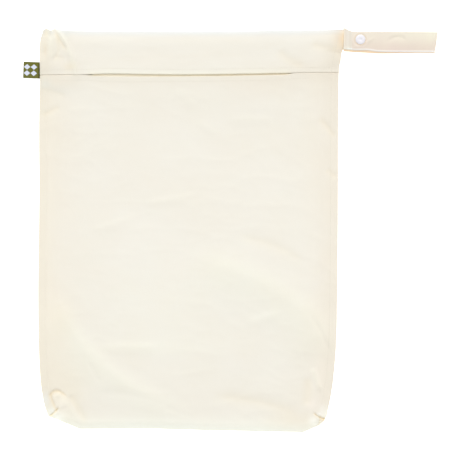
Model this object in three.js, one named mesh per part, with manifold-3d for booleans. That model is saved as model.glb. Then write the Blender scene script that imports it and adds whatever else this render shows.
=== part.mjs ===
// Hanging pail bag lying on its back: a cloth bag with a slit mouth under a turned-over top, boxed bottom
// corners, a snap strap folded into a loop and a woven label in the side seam.
// Millimetres. +X runs to the strap's side, +Y to the top fold and +Z up from the surface the bag lies on.
// The origin is the middle of the back panel's underside.
import * as THREE from "three";
import { mergeVertices } from "three/addons/utils/BufferGeometryUtils.js";
import Module from "manifold-3d";

// Driving dimensions
const CLOTH = 1.2; // wall of laminated cotton, turned once
const SEAM_GAP = 0.3; // room between two layers that are sewn together
const LAYER = CLOTH + SEAM_GAP; // pitch of stacked layers
const SIDE_ROLL = 26; // width over which the front falls to a side seam
const BOTTOM_ROLL = 12; // width over which it falls to the bottom fold
const FOLD_FADE = 10; // folds die away over this width at the edges
const TOP_LINE = 240; // height up the bag where the turned-over top becomes flat
const CORNER_Y = -232.5; // height where the side seams end at the boxed corners
const TOP_Y = 249; // height where the side seams end at the top fold
const HEM_DIP_REACH = 26; // the front's hem sinks over this length below the mouth
const LABEL_WIDTH = 20.4;
const LABEL_OUT = 20.4; // how far the label stands out of the side seam
const LABEL_TUCK = 4; // how far its ends are sewn in
const LABEL_THICK = 1.4; // two woven plies pressed together
const LABEL_Y = 198.8; // height of the label's middle
const LABEL_SLOPE = -2; // degrees by which the label leans
const TUCK_RAMP = 14; // the seam climbs over a sewn-in end along this length
const SNAP_X = 215.3;
const SNAP_Y = 237.2;
const SNAP_RADIUS = 6.2; // cap of a size 20 snap
const SNAP_CAP_HEIGHT = 1.6;
const CLASP_RADIUS = 5.3;
const CLASP_HEIGHT = 3.7; // socket pressed on its stud
const CLASP_WAIST = 0.84; // groove where the two meet, as a share of the clasp's radius
const POST_RADIUS = 1.5;
const POST_REACH = 0.7; // how far each cap's post enters the clasp
const HOLE_RADIUS = 1.9; // hole for a post in the strap and in the clasp
const HOLE_DEPTH = 1.3; // of each blind hole in the clasp
const SNAP_SIDES = 24;
const DRILL_LENGTH = 40; // cutter for the strap's two holes
const STRAP_FOLD_SKEW = 4.2; // the loop's fold runs this far askew across the strap

// Side seams: where the left and right edges lie at each height y
const SIDE_EDGES = [
  { y: CORNER_Y, left: -174.4, right: 173.2 },
  { y: -213, left: -180.2, right: 177.1 },
  { y: -188, left: -183.8, right: 181.0 },
  { y: -138, left: -186.2, right: 184.9 },
  { y: -60, left: -186.7, right: 186.3 },
  { y: 100, left: -185.5, right: 187.4 },
  { y: 190, left: -185.3, right: 188.3 },
  { y: 222, left: -185.2, right: 191.7 },
  { y: TOP_Y, left: -180.5, right: 195.0 },
];

// Bottom edge, with the two cut-off corners of the boxed bottom
const BOTTOM_EDGE = [
  { x: -174.4, y: CORNER_Y },
  { x: -135, y: -248.7 },
  { x: -47, y: -248.2 },
  { x: 15, y: -250.2 },
  { x: 143.8, y: -252.8 },
  { x: 163.8, y: -244.4 },
  { x: 173, y: CORNER_Y },
];

// Top fold: its height at each place across
const TOP_EDGE = [
  { x: -180, y: 249.8 },
  { x: -125, y: 248.0 },
  { x: 40, y: 247.9 },
  { x: 195, y: 250.0 },
];

// Height of the front above its seams at each height y up the bag
const LOFT = [
  { y: -252, rise: 3.4 },
  { y: -225, rise: 5.4 },
  { y: -190, rise: 7.8 },
  { y: -140, rise: 10.4 },
  { y: -40, rise: 12.8 },
  { y: 90, rise: 12.8 },
  { y: 170, rise: 11.8 },
  { y: TOP_Y, rise: 12.0 },
];

// Mouth: its line across the bag, and how far it gapes there
const MOUTH = [
  { x: -187, y: 194.6, gape: 0.4 },
  { x: -132, y: 194.2, gape: 0.5 },
  { x: -104, y: 194.0, gape: 5.0 },
  { x: -40, y: 193.9, gape: 5.2 },
  { x: 30, y: 194.3, gape: 4.4 },
  { x: 100, y: 195.5, gape: 2.8 },
  { x: 138, y: 196.6, gape: 0.5 },
  { x: 194, y: 197.0, gape: 0.4 },
];
const LIP_SHARE = 0.45; // the flap's hem lifts by this share of the gape
const DIP_SHARE = 0.4; // and the front's hem sinks by this share

// Folds of the front and the flap: each runs from a point past another to a third. Its height is above the
// cloth, or below it in a crease, and its width is half of what it covers.
const FOLDS = [
  { name: "right ridge", from: [0, -24], past: [150, -66], to: [182, -166], height: 3.4, width: 20 },
  { name: "right foot", from: [132, -98], past: [160, -118], to: [182, -166], height: -1.6, width: 9 },
  { name: "right crease", from: [56, -8], past: [112, -14], to: [148, -44], height: -1.2, width: 9 },
  { name: "left ridge", from: [-168, -75], past: [-144, -193], to: [9, -238], height: 3.2, width: 16 },
  { name: "left hollow", from: [-122, -206], past: [-52, -204], to: [0, -240], height: -1.4, width: 10 },
  { name: "bottom hollow", from: [23, -208], past: [96, -210], to: [140, -233], height: -1.2, width: 10 },
  { name: "left tuck", from: [-166, -226], past: [-172, -212], to: [-158, -200], height: 2.0, width: 8 },
  { name: "left boxing", from: [-180, -237], past: [-168, -230], to: [-160, -219], height: -1.4, width: 6 },
  { name: "right tuck", from: [160, -228], past: [157, -212], to: [164, -196], height: 1.8, width: 8 },
  { name: "right boxing", from: [178, -241], past: [164, -233], to: [152, -226], height: -1.4, width: 6 },
  { name: "ear ridge", from: [-164, 246], past: [-143, 231], to: [-137, 196], height: 1.8, width: 8 },
  { name: "ear crease", from: [-172, 240], past: [-161, 232], to: [-156, 206], height: -1.4, width: 8 },
  { name: "strap pucker", from: [112, 226], past: [122, 208], to: [148, 205], height: -1.4, width: 9 },
];
const FOLD_STEPS = 16; // chords along each fold
const FOLD_END = 0.22; // a fold rises to its height over this share of its length

// Strap: the run sewn into the seam, then the run that comes back from the fold to the snap.
// x is the place along it, z the middle of its wall, low and high its two edges.
const STRAP_LOWER = [
  { x: 189.2, z: 2.1, low: 222.4, high: 245.0 },
  { x: 196, z: 2.2, low: 222.4, high: 245.6 },
  { x: 206, z: 2.6, low: 222.2, high: 246.0 },
  { x: 224, z: 2.6, low: 222.0, high: 246.2 },
  { x: 262, z: 1.3, low: 221.7, high: 246.3 },
  { x: 306, z: 0.75, low: 221.7, high: 246.3 },
];
const STRAP_UPPER = [
  { x: 195.5, z: 8.3, low: 226.9, high: 251.2 },
  { x: 199.5, z: 8.2, low: 226.6, high: 249.2 },
  { x: 206, z: 8.1, low: 225.4, high: 246.8 },
  { x: 224, z: 8.1, low: 223.2, high: 246.6 },
  { x: 262, z: 10.0, low: 221.9, high: 246.4 },
  { x: 306, z: 9.2, low: 221.7, high: 246.3 },
];

// Snap cap's upper side, as shares of its radius and height, from the rim to the dimple in its middle
const SNAP_CAP_PROFILE = [
  { radius: 0.95, height: 0 },
  { radius: 1, height: 0.25 },
  { radius: 0.97, height: 0.53 },
  { radius: 0.82, height: 0.85 },
  { radius: 0.55, height: 1 },
  { radius: 0.32, height: 1 },
  { radius: 0.2, height: 0.84 },
  { radius: 0, height: 0.84 },
];

// Clasp's side, as shares of its radius and height
const CLASP_PROFILE = [
  { radius: 1, height: 0 },
  { radius: 1, height: 0.3 },
  { radius: CLASP_WAIST, height: 0.4 },
  { radius: CLASP_WAIST, height: 0.5 },
  { radius: 1, height: 0.6 },
  { radius: 1, height: 1 },
];

// Grids of the cloth walls
const FRONT_COLUMNS = 36;
const FRONT_ROWS = 42;
const BACK_COLUMNS = 30;
const BACK_ROWS = 7; // up the back
const TOP_FOLD_ROWS = 8; // round the top fold
const FLAP_ROWS = 6; // down the flap to the mouth
const STRAP_COLUMNS = 2;
const STRAP_RUN_ROWS = 14; // along each run of the strap
const STRAP_FOLD_ROWS = 8;
const EDGE_CROWDING = 0.065; // grid columns crowd towards the side seams
const CORNER_CROWDING = 1.6; // rows of the back crowd towards the bottom corners

const { lerp, clamp, smoothstep, degToRad } = THREE.MathUtils;

const wasm = await Module();
wasm.setup();

/** A column of a table as a smooth curve through its rows, or as straight lines between them. */
function tableCurve(rows, key, column, Curve = THREE.CubicInterpolant) {
  const places = rows.map((row) => row[key]);
  const values = rows.map((row) => row[column]);
  const curve = new Curve(places, values, 1);
  return (place) => curve.evaluate(place)[0];
}

const sideLeft = tableCurve(SIDE_EDGES, "y", "left");
const sideRight = tableCurve(SIDE_EDGES, "y", "right");
const bottomEdge = tableCurve(BOTTOM_EDGE, "x", "y", THREE.LinearInterpolant);
const topEdge = tableCurve(TOP_EDGE, "x", "y");
const loft = tableCurve(LOFT, "y", "rise");
const mouthLine = tableCurve(MOUTH, "x", "y");
const mouthGape = tableCurve(MOUTH, "x", "gape", THREE.LinearInterpolant);

/** Rise of a soft edge, from 0 at the edge to 1 at its full width and beyond. */
const softEdge = (share) => Math.sin((Math.PI / 2) * clamp(share, 0, 1));

/** Share across the bag of a grid column, with columns crowded towards both sides. */
const crowded = (u) => u - EDGE_CROWDING * Math.sin(2 * Math.PI * u);

/** Each fold's centre line as a chain of chords. */
const foldLines = FOLDS.map((fold) => {
  const ends = [fold.from, fold.past, fold.to].map(([x, y]) => new THREE.Vector2(x, y));
  return { ...fold, points: new THREE.QuadraticBezierCurve(...ends).getPoints(FOLD_STEPS) };
});

/** Height that the folds add at a point of the front. */
function foldHeight(x, y) {
  let height = 0;
  for (const fold of foldLines) {
    let nearest = Infinity;
    let share = 0;
    for (let i = 0; i < FOLD_STEPS; i++) {
      const start = fold.points[i];
      const chord = fold.points[i + 1].clone().sub(start);
      const along = clamp(((x - start.x) * chord.x + (y - start.y) * chord.y) / chord.lengthSq(), 0, 1);
      const distance = Math.hypot(x - start.x - along * chord.x, y - start.y - along * chord.y);
      if (distance < nearest) {
        nearest = distance;
        share = (i + along) / FOLD_STEPS;
      }
    }
    const ends = smoothstep(share, 0, FOLD_END) * smoothstep(1 - share, 0, FOLD_END);
    height += fold.height * ends * Math.exp(-((nearest / fold.width) ** 2));
  }
  return height;
}

/** Lift of the seam where it passes over an end that is sewn into it between two heights. */
function tuckLift(y, low, high, lift) {
  return lift * smoothstep(y, low - TUCK_RAMP, low) * smoothstep(-y, -high - TUCK_RAMP, -high);
}

/** Middle of the front wall's height where it meets the back at the nearer side seam. */
function seamHeight(y, onLabelSide) {
  const stacked = CLOTH / 2 + LAYER;
  const label = tuckLift(y, LABEL_Y - LABEL_WIDTH / 2, LABEL_Y + LABEL_WIDTH / 2, LABEL_THICK + SEAM_GAP);
  const strap = tuckLift(y, STRAP_LOWER[0].low, STRAP_LOWER[0].high, LAYER);
  return stacked + (onLabelSide ? label : strap);
}

/** Middle of the front wall's height above the surface, at any point between the side seams. */
function faceHeight(x, y) {
  const left = x - sideLeft(y);
  const right = sideRight(y) - x;
  const side = Math.max(0, Math.min(left, right));
  const up = Math.max(0, y - bottomEdge(x));
  const flat = CLOTH / 2 + LAYER;
  const seam = lerp(seamHeight(y, left < right), flat, smoothstep(side, 0, SIDE_ROLL));
  const pillow = loft(y) * softEdge(side / SIDE_ROLL) * softEdge(up / BOTTOM_ROLL);
  return seam + pillow + foldHeight(x, y) * softEdge(side / FOLD_FADE) * softEdge(up / FOLD_FADE);
}

/** Front panel: from the bottom fold (v 0) up to its hem at the mouth (v 1). */
function frontSurface(u, v) {
  const station = lerp(CORNER_Y, mouthLine(0), v);
  const x = lerp(sideLeft(station), sideRight(station), crowded(u));
  const gape = mouthGape(x);
  const hem = mouthLine(x) - gape / 2;
  const y = lerp(bottomEdge(x), hem, v);
  const dip = DIP_SHARE * gape * smoothstep(y, hem - HEM_DIP_REACH, hem);
  return new THREE.Vector3(x, y, faceHeight(x, y) - dip);
}

/** Back panel: up the back (v 0), round the top fold and down the front as a flap to the mouth (v 1). */
function backSurface(u, v) {
  const row = v * (BACK_ROWS + TOP_FOLD_ROWS + FLAP_ROWS);
  const upBack = clamp(row / BACK_ROWS, 0, 1) ** CORNER_CROWDING;
  const round = clamp((row - BACK_ROWS) / TOP_FOLD_ROWS, 0, 1);
  const downFlap = clamp((row - BACK_ROWS - TOP_FOLD_ROWS) / FLAP_ROWS, 0, 1);
  const station = downFlap > 0 ? lerp(TOP_Y, mouthLine(0), downFlap) : lerp(CORNER_Y, TOP_Y, upBack);
  const x = lerp(sideLeft(station), sideRight(station), crowded(u));
  const underside = CLOTH / 2;
  const radius = (faceHeight(x, TOP_LINE) - underside) / 2;
  const foldStart = topEdge(x) - radius;
  if (downFlap > 0) {
    const gape = mouthGape(x);
    const y = lerp(foldStart, mouthLine(x) + gape / 2, downFlap);
    const lip = LIP_SHARE * gape * downFlap ** 2;
    return new THREE.Vector3(x, y, faceHeight(x, Math.min(y, TOP_LINE)) + lip);
  }
  if (round > 0) {
    const angle = Math.PI * round;
    return new THREE.Vector3(
      x,
      foldStart + radius * Math.sin(angle),
      underside + radius * (1 - Math.cos(angle)),
    );
  }
  return new THREE.Vector3(x, lerp(bottomEdge(x), foldStart, upBack), underside);
}

const strapRun = (rows) => ({
  z: tableCurve(rows, "x", "z"),
  low: tableCurve(rows, "x", "low"),
  high: tableCurve(rows, "x", "high"),
});
const strapLower = strapRun(STRAP_LOWER);
const strapUpper = strapRun(STRAP_UPPER);
const strapFoldX = STRAP_LOWER.at(-1).x;
const strapFoldRadius = (STRAP_UPPER.at(-1).z - STRAP_LOWER.at(-1).z) / 2;

/** A point of one run of the strap, at a place along it and a share across it. */
function strapPoint(run, along, across) {
  const skew = STRAP_FOLD_SKEW * (1 - across) * smoothstep(along, SNAP_X + 3 * SNAP_RADIUS, strapFoldX);
  return new THREE.Vector3(along - skew, lerp(run.low(along), run.high(along), across), run.z(along));
}

/** Strap: out of the seam (v 0), round the loop's fold and back to the free end at the snap (v 1). */
function strapSurface(u, v) {
  const row = v * (2 * STRAP_RUN_ROWS + STRAP_FOLD_ROWS);
  const out = clamp(row / STRAP_RUN_ROWS, 0, 1);
  const turn = Math.PI * clamp((row - STRAP_RUN_ROWS) / STRAP_FOLD_ROWS, 0, 1);
  const back = clamp((row - STRAP_RUN_ROWS - STRAP_FOLD_ROWS) / STRAP_RUN_ROWS, 0, 1);
  if (back > 0) {
    return strapPoint(strapUpper, lerp(strapFoldX, STRAP_UPPER[0].x, back), u);
  }
  const point = strapPoint(strapLower, lerp(STRAP_LOWER[0].x, strapFoldX, out), u);
  point.x += strapFoldRadius * Math.sin(turn);
  point.z += strapFoldRadius * (1 - Math.cos(turn));
  return point;
}

/** A wall of cloth: a thin box whose broad faces are bent to lie half a wall either side of a surface. */
function clothWall(surface, columns, rows) {
  const box = new THREE.BoxGeometry(1, 1, 1, columns, rows, 1);
  box.deleteAttribute("normal");
  box.deleteAttribute("uv");
  const wall = mergeVertices(box);
  const places = wall.getAttribute("position");
  const step = 1e-3;
  for (let i = 0; i < places.count; i++) {
    const u = places.getX(i) + 0.5;
    const v = places.getY(i) + 0.5;
    const across = surface(Math.min(1, u + step), v).sub(surface(Math.max(0, u - step), v));
    const along = surface(u, Math.min(1, v + step)).sub(surface(u, Math.max(0, v - step)));
    const point = surface(u, v).addScaledVector(across.cross(along).normalize(), CLOTH * places.getZ(i));
    places.setXYZ(i, point.x, point.y, point.z);
  }
  wall.computeVertexNormals();
  return wall;
}

/** A closed geometry as a solid that can be joined and cut. */
function solidOf(geometry) {
  const bare = geometry.clone();
  bare.deleteAttribute("normal");
  bare.deleteAttribute("uv");
  const merged = mergeVertices(bare, 1e-3);
  const vertProperties = new Float32Array(merged.getAttribute("position").array);
  const triVerts = new Uint32Array(merged.getIndex().array);
  return new wasm.Manifold(new wasm.Mesh({ numProp: 3, vertProperties, triVerts }));
}

/** A solid as a geometry to draw. */
function geometryOf(solid) {
  const mesh = solid.getMesh();
  const geometry = new THREE.BufferGeometry();
  geometry.setAttribute("position", new THREE.BufferAttribute(mesh.vertProperties, 3));
  geometry.setIndex(new THREE.BufferAttribute(mesh.triVerts, 1));
  geometry.computeVertexNormals();
  return geometry;
}

/** Strap with the holes that the snap's two posts pass through. */
function strapGeometry() {
  const strap = clothWall(strapSurface, STRAP_COLUMNS, 2 * STRAP_RUN_ROWS + STRAP_FOLD_ROWS);
  const drill = new THREE.CylinderGeometry(HOLE_RADIUS, HOLE_RADIUS, DRILL_LENGTH, SNAP_SIDES);
  drill.rotateX(Math.PI / 2).translate(SNAP_X, SNAP_Y, 0);
  return geometryOf(solidOf(strap).subtract(solidOf(drill)));
}

/** A round piece turned about +Z from a profile that runs from the axis, out and back to it. */
function turned(profile) {
  const points = profile.map(({ radius, height }) => new THREE.Vector2(radius, height));
  return new THREE.LatheGeometry(points, SNAP_SIDES).rotateX(Math.PI / 2);
}

/** A profile table of shares at its real radius and height. */
function sized(rows, radius, height) {
  return rows.map((row) => ({ radius: row.radius * radius, height: row.height * height }));
}

/** Snap cap: a shallow dome with a dimple, its underside at height 0 and its post below. */
function snapCapGeometry() {
  const postEnd = -(CLOTH + 2 * SEAM_GAP + POST_REACH);
  return turned([
    { radius: 0, height: postEnd },
    { radius: POST_RADIUS, height: postEnd },
    { radius: POST_RADIUS, height: 0 },
    ...sized(SNAP_CAP_PROFILE, SNAP_RADIUS, SNAP_CAP_HEIGHT),
  ]);
}

/** Socket pressed on its stud, between the strap's two runs, with a blind hole for each cap's post. */
function snapClaspGeometry() {
  return turned([
    { radius: 0, height: HOLE_DEPTH },
    { radius: HOLE_RADIUS, height: HOLE_DEPTH },
    { radius: HOLE_RADIUS, height: 0 },
    ...sized(CLASP_PROFILE, CLASP_RADIUS, CLASP_HEIGHT),
    { radius: HOLE_RADIUS, height: CLASP_HEIGHT },
    { radius: HOLE_RADIUS, height: CLASP_HEIGHT - HOLE_DEPTH },
    { radius: 0, height: CLASP_HEIGHT - HOLE_DEPTH },
  ]);
}

/** Label: a tab folded round at its free end, drawn from the side and as wide as the label. */
function labelGeometry() {
  const radius = LABEL_THICK / 2;
  const side = new THREE.Shape();
  side.moveTo(LABEL_TUCK, 0);
  side.lineTo(LABEL_TUCK, LABEL_THICK);
  side.lineTo(radius - LABEL_OUT, LABEL_THICK);
  side.absarc(radius - LABEL_OUT, radius, radius, Math.PI / 2, (3 * Math.PI) / 2);
  side.closePath();
  const tab = new THREE.ExtrudeGeometry(side, { depth: LABEL_WIDTH, bevelEnabled: false, curveSegments: 8 });
  return tab.translate(0, 0, -LABEL_WIDTH / 2).rotateX(Math.PI / 2);
}

const COLOURS = { cloth: 0xf5f0e0, strap: 0xf1e7d5, snap: 0xf6f6fa, label: 0x7a7d3a };

function cloth(colour) {
  return new THREE.MeshStandardMaterial({ color: colour, roughness: 0.85, metalness: 0 });
}

function plastic() {
  return new THREE.MeshStandardMaterial({ color: COLOURS.snap, roughness: 0.35, metalness: 0 });
}

function piece(name, geometry, material) {
  const mesh = new THREE.Mesh(geometry, material);
  mesh.name = name;
  return mesh;
}

function bagPanels() {
  const panels = new THREE.Group();
  const backRows = BACK_ROWS + TOP_FOLD_ROWS + FLAP_ROWS;
  panels.add(piece("back_panel", clothWall(backSurface, BACK_COLUMNS, backRows), cloth(COLOURS.cloth)));
  panels.add(piece("front_panel", clothWall(frontSurface, FRONT_COLUMNS, FRONT_ROWS), cloth(COLOURS.cloth)));
  return panels;
}

function snap() {
  const lowerRun = strapLower.z(SNAP_X) - CLOTH / 2;
  const upperRun = strapUpper.z(SNAP_X) + CLOTH / 2;
  const cap = piece("snap_cap", snapCapGeometry(), plastic());
  cap.position.z = upperRun + SEAM_GAP;
  const clasp = piece("snap_clasp", snapClaspGeometry(), plastic());
  clasp.position.z = lowerRun + CLOTH + SEAM_GAP;
  const backCap = piece("snap_back_cap", snapCapGeometry().rotateX(Math.PI), plastic());
  backCap.position.z = lowerRun - SEAM_GAP;
  const snapGroup = new THREE.Group();
  snapGroup.position.set(SNAP_X, SNAP_Y, 0);
  snapGroup.add(cap, clasp, backCap);
  return snapGroup;
}

function label() {
  const tab = piece("side_label", labelGeometry(), cloth(COLOURS.label));
  tab.position.set(sideLeft(LABEL_Y), LABEL_Y, CLOTH + SEAM_GAP);
  tab.rotation.z = degToRad(LABEL_SLOPE);
  return tab;
}

const bag = new THREE.Group();
bag.add(bagPanels());
bag.add(piece("strap", strapGeometry(), cloth(COLOURS.strap)));
bag.add(snap());
bag.add(label());

export default bag;
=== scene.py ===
"""Cream cloth hanging bag with a slit mouth, a snap strap and a woven side label, laid flat on its back.

Laid out as a Blender add-on and run as a script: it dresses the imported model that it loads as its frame.
"""
import math
from collections import namedtuple

import bmesh
import bpy
import numpy as np
from bpy.props import FloatProperty, FloatVectorProperty, IntProperty, PointerProperty
from mathutils import Matrix, Vector, noise
from mathutils.bvhtree import BVHTree


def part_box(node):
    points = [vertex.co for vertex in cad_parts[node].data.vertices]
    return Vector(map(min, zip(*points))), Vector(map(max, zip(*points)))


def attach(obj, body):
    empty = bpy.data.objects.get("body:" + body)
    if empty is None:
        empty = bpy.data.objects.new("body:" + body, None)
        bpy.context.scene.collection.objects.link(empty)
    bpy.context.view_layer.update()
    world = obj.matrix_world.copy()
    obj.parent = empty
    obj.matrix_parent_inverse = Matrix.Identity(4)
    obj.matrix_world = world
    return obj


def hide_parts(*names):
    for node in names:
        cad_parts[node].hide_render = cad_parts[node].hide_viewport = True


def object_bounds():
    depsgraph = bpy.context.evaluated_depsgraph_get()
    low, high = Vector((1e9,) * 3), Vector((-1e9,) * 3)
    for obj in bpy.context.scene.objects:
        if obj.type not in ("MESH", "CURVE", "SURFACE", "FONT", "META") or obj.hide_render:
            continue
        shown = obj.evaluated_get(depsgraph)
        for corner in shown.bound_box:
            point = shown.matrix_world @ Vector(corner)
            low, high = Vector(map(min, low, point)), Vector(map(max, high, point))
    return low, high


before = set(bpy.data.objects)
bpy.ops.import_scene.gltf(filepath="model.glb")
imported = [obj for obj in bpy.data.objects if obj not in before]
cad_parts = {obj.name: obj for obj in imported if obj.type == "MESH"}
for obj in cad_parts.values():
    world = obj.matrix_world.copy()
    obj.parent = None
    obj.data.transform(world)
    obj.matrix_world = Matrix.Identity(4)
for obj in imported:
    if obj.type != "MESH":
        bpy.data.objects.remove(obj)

bl_info = {
    "name": "Hanging pail bag",
    "version": (1, 0, 0),
    "blender": (4, 5, 0),
    "location": "3D View > Sidebar > Pail Bag",
    "description": "Builds a cloth hanging bag with a slit mouth, a snap strap and a woven label",
    "category": "Object",
}

CAD_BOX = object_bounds()
BODY = "root"
MM = 0.001  # the tables below are in millimetres


def table(columns, *rows):
    """A table's rows, each with its values under the names of the columns."""
    names = columns.split()
    return tuple(dict(zip(names, row)) for row in rows)


# Side seams: where the left and right edges lie at each height y
SIDE_EDGES = table(
    "y left right",
    (-232.5, -174.4, 173.2),
    (-223.0, -177.6, 174.9),
    (-213.0, -180.2, 177.1),
    (-188.0, -183.8, 181.0),
    (-138.0, -186.2, 184.9),
    (-60.0, -186.7, 186.3),
    (50.0, -185.3, 187.1),
    (130.0, -185.7, 187.3),
    (190.0, -184.5, 187.9),
    (203.0, -184.6, 188.6),
    (211.0, -184.7, 190.4),
    (221.0, -184.8, 191.6),
    (229.0, -184.9, 194.2),
    (238.0, -183.9, 195.2),
    (250.0, -180.4, 195.4),
)

# Bottom edge, with the two cut-off corners of the boxed bottom
BOTTOM_EDGE = table(
    "x y",
    (-174.4, -232.5),
    (-135.0, -248.7),
    (-47.0, -248.2),
    (15.0, -250.2),
    (143.8, -252.8),
    (163.8, -244.4),
    (170.4, -238.2),
    (173.0, -232.5),
)

# Top fold: its height at each place across
TOP_EDGE = table(
    "x y",
    (-186.0, 247.4),
    (-181.5, 249.2),
    (-177.0, 250.9),
    (-171.5, 248.9),
    (-166.5, 250.5),
    (-158.0, 249.3),
    (-146.0, 249.1),
    (-125.0, 248.0),
    (0.0, 247.9),
    (70.0, 248.1),
    (100.0, 249.0),
    (165.0, 249.3),
    (196.0, 250.3),
)

# Height of the front above its seams at each height y up the bag
LOFT = table(
    "y rise",
    (-252.0, 2.6),
    (-225.0, 5.0),
    (-190.0, 7.6),
    (-140.0, 10.2),
    (-40.0, 12.6),
    (90.0, 12.8),
    (170.0, 11.8),
    (200.0, 11.6),
    (249.0, 12.0),
)

# Mouth: the flap's edge above and the front's edge below, at each place across
MOUTH = table(
    "x upper lower",
    (-187.0, 192.9, 192.8),
    (-150.0, 192.9, 192.8),
    (-131.0, 192.9, 192.7),
    (-121.0, 193.3, 192.4),
    (-97.0, 194.3, 190.8),
    (-47.0, 193.4, 190.9),
    (3.0, 193.1, 191.4),
    (53.0, 193.7, 191.8),
    (103.0, 194.6, 193.0),
    (121.0, 194.9, 193.3),
    (131.0, 195.1, 194.9),
    (145.0, 195.4, 195.3),
    (194.0, 196.0, 195.9),
)

# Folds of the front and the flap. Each runs from a point past another to a third. Its height is above the
# cloth, or below it in a crease. near and far are its half widths on the left and right of that way, and
# crisp is how sharp its line is. warm is how much painted golden shade it lays on the cloth along it.
Fold = namedtuple("Fold", "name start past end height near far crisp warm", defaults=(0.0,))
FOLDS = (
    Fold("right ridge", (-12, -36), (150, -64), (179, -170), 3.5, 18, 36, 0.1),
    Fold("right foot", (150, -104), (166, -120), (181, -166), -0.75, 2.5, 4, 0.6),
    Fold("right crease", (56, -8), (112, -14), (148, -44), -0.7, 6, 8, 0.4),
    Fold("left ridge", (-167, -71), (-142, -188), (12, -233), 3.2, 12, 30, 0.2),
    Fold("left hollow", (-122, -206), (-52, -197), (-2, -236), -0.8, 8, 7, 0.5),
    Fold("left thread", (-124, -164), (-118, -178), (-109, -192), -0.7, 3, 3, 0.5),
    Fold("left shelf", (-112, -148), (-74, -146), (-33, -147), 0.9, 5, 9, 0.2),
    Fold("bottom hollow", (23, -208), (96, -210), (140, -233), -1.0, 8, 8, 0.4),
    Fold("right gully", (149, -182), (150, -200), (147, -224), -0.9, 7, 6, 0.0),
    Fold("right rib", (155, -172), (158, -184), (168, -204), 1.6, 3, 4, 0.2),
    Fold("faint rib", (70, -118), (92, -112), (118, -103), 0.8, 5, 9, 0.0),
    Fold("tuck arc", (-173.5, -210), (-166, -192), (-149, -211.5), -1.5, 2.0, 2.6, 0.5, 0.35),
    Fold("tuck leg", (-173, -203), (-169.5, -214), (-163, -229), -1.1, 2.0, 2.2, 0.4, 0.3),
    Fold("tuck swell", (-165, -204), (-160, -212), (-154, -224), 1.4, 7, 7, 0.0),
    Fold("left boxing", (-180, -239), (-168, -231.5), (-160, -220), -1.8, 1.2, 1.2, 0.5, 0.45),
    Fold("right boxing", (156, -227.5), (162.5, -236), (174, -237.5), -1.6, 1.2, 1.2, 0.5, 0.5),
    Fold("right turn", (165, -231), (166, -238), (162, -248), -0.6, 1.1, 1.1, 0.5, 0.4),
    Fold("left rib", (-159, -208), (-146, -224), (-134, -244), 1.2, 5, 6, 0.1),
    Fold("left gully", (-149, -205), (-140, -218), (-127, -246), -1.0, 6, 6, 0.1),
    Fold("right nick", (163, 142), (174, 126), (186, 114), -1.0, 4, 4, 0.3),
    Fold("right nip", (172, 76), (179, 70), (186, 64), -0.9, 4, 4, 0.3),
    Fold("left nick", (-186, 176), (-168, 172), (-150, 165), -0.8, 4, 5, 0.3),
    Fold("left nip", (-184, 142), (-172, 146), (-158, 154), -0.9, 4, 4, 0.3),
    Fold("ear ridge", (-171, 256), (-143, 231), (-137, 180), 2.2, 3, 5, 0.3),
    Fold("ear crease", (-172, 260), (-161, 238), (-150, 221), -1.1, 2.4, 3.2, 0.4, 0.25),
    Fold("ear tuck", (-164, 240), (-157, 224), (-168, 211), -0.8, 2.6, 2.6, 0.3),
    Fold("ear swell", (-172, 244), (-171, 228), (-170, 210), 1.3, 4.5, 4.5, 0.0),
    Fold("ear notch", (-173, 266), (-172, 250), (-171, 233), -0.8, 1.7, 1.7, 0.3),
    Fold("flap dimple", (-170, 213), (-162, 216.5), (-152, 212), -0.6, 3, 5, 0.2),
    Fold("strap pucker", (112, 226), (122, 208), (148, 205), -1.0, 6, 6, 0.1),
    Fold("strap pull", (152, 232), (168, 226), (192, 224), -0.9, 5, 5, 0.1),
    Fold("wrinkle 1", (-58, 32), (-20, 36), (17, 46), 0.6, 4, 7, 0.2),
    Fold("wrinkle 2", (-120, -2), (-94, 6), (-66, 17), 0.6, 4, 7, 0.2),
    Fold("wrinkle 3", (12, 135), (24, 128), (36, 116), 0.5, 4, 5, 0.2),
    Fold("wrinkle 4", (50, 136), (78, 140), (110, 136), 0.5, 4, 7, 0.2),
    Fold("wrinkle 5", (-16, 176), (-4, 166), (10, 152), 0.5, 4, 5, 0.2),
)
FOLD_STEPS = 16  # chords along each fold
FOLD_END = 0.22  # a fold rises to its height over this share of its length
FOLD_FADE = 3.0  # folds die away over this width at the bag's edges
FOLD_REACH = 3  # a fold is felt as far out as this many of its half widths
CRISP_FALL = 1.6  # how fast a crisp fold falls away from its line
CRISP_TIP = 0.12  # its line is rounded over this share of its half width
CRISP_FOOT = 0.3  # and its foot dies away by this power of a soft fold

# Gentle unevenness of the cloth: its height, and the distance from one swell to the next
UNEVENNESS = table(
    "height span",
    (0.45, 70.0),
    (0.22, 28.0),
    (0.08, 11.0),
)

# Crumples: sharp small ridges in patches, longer across the bag than up it
CRUMPLES = table(
    "height across up patch",
    (0.42, 64.0, 30.0, 110.0),
    (0.27, 30.0, 17.0, 70.0),
    (0.10, 17.0, 11.0, 50.0),
)
CRUMPLE_CREST = 6  # the higher this power, the sharper their crests
CRUMPLE_SPREAD = 0.5  # the higher, the more of the cloth they cover
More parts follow.
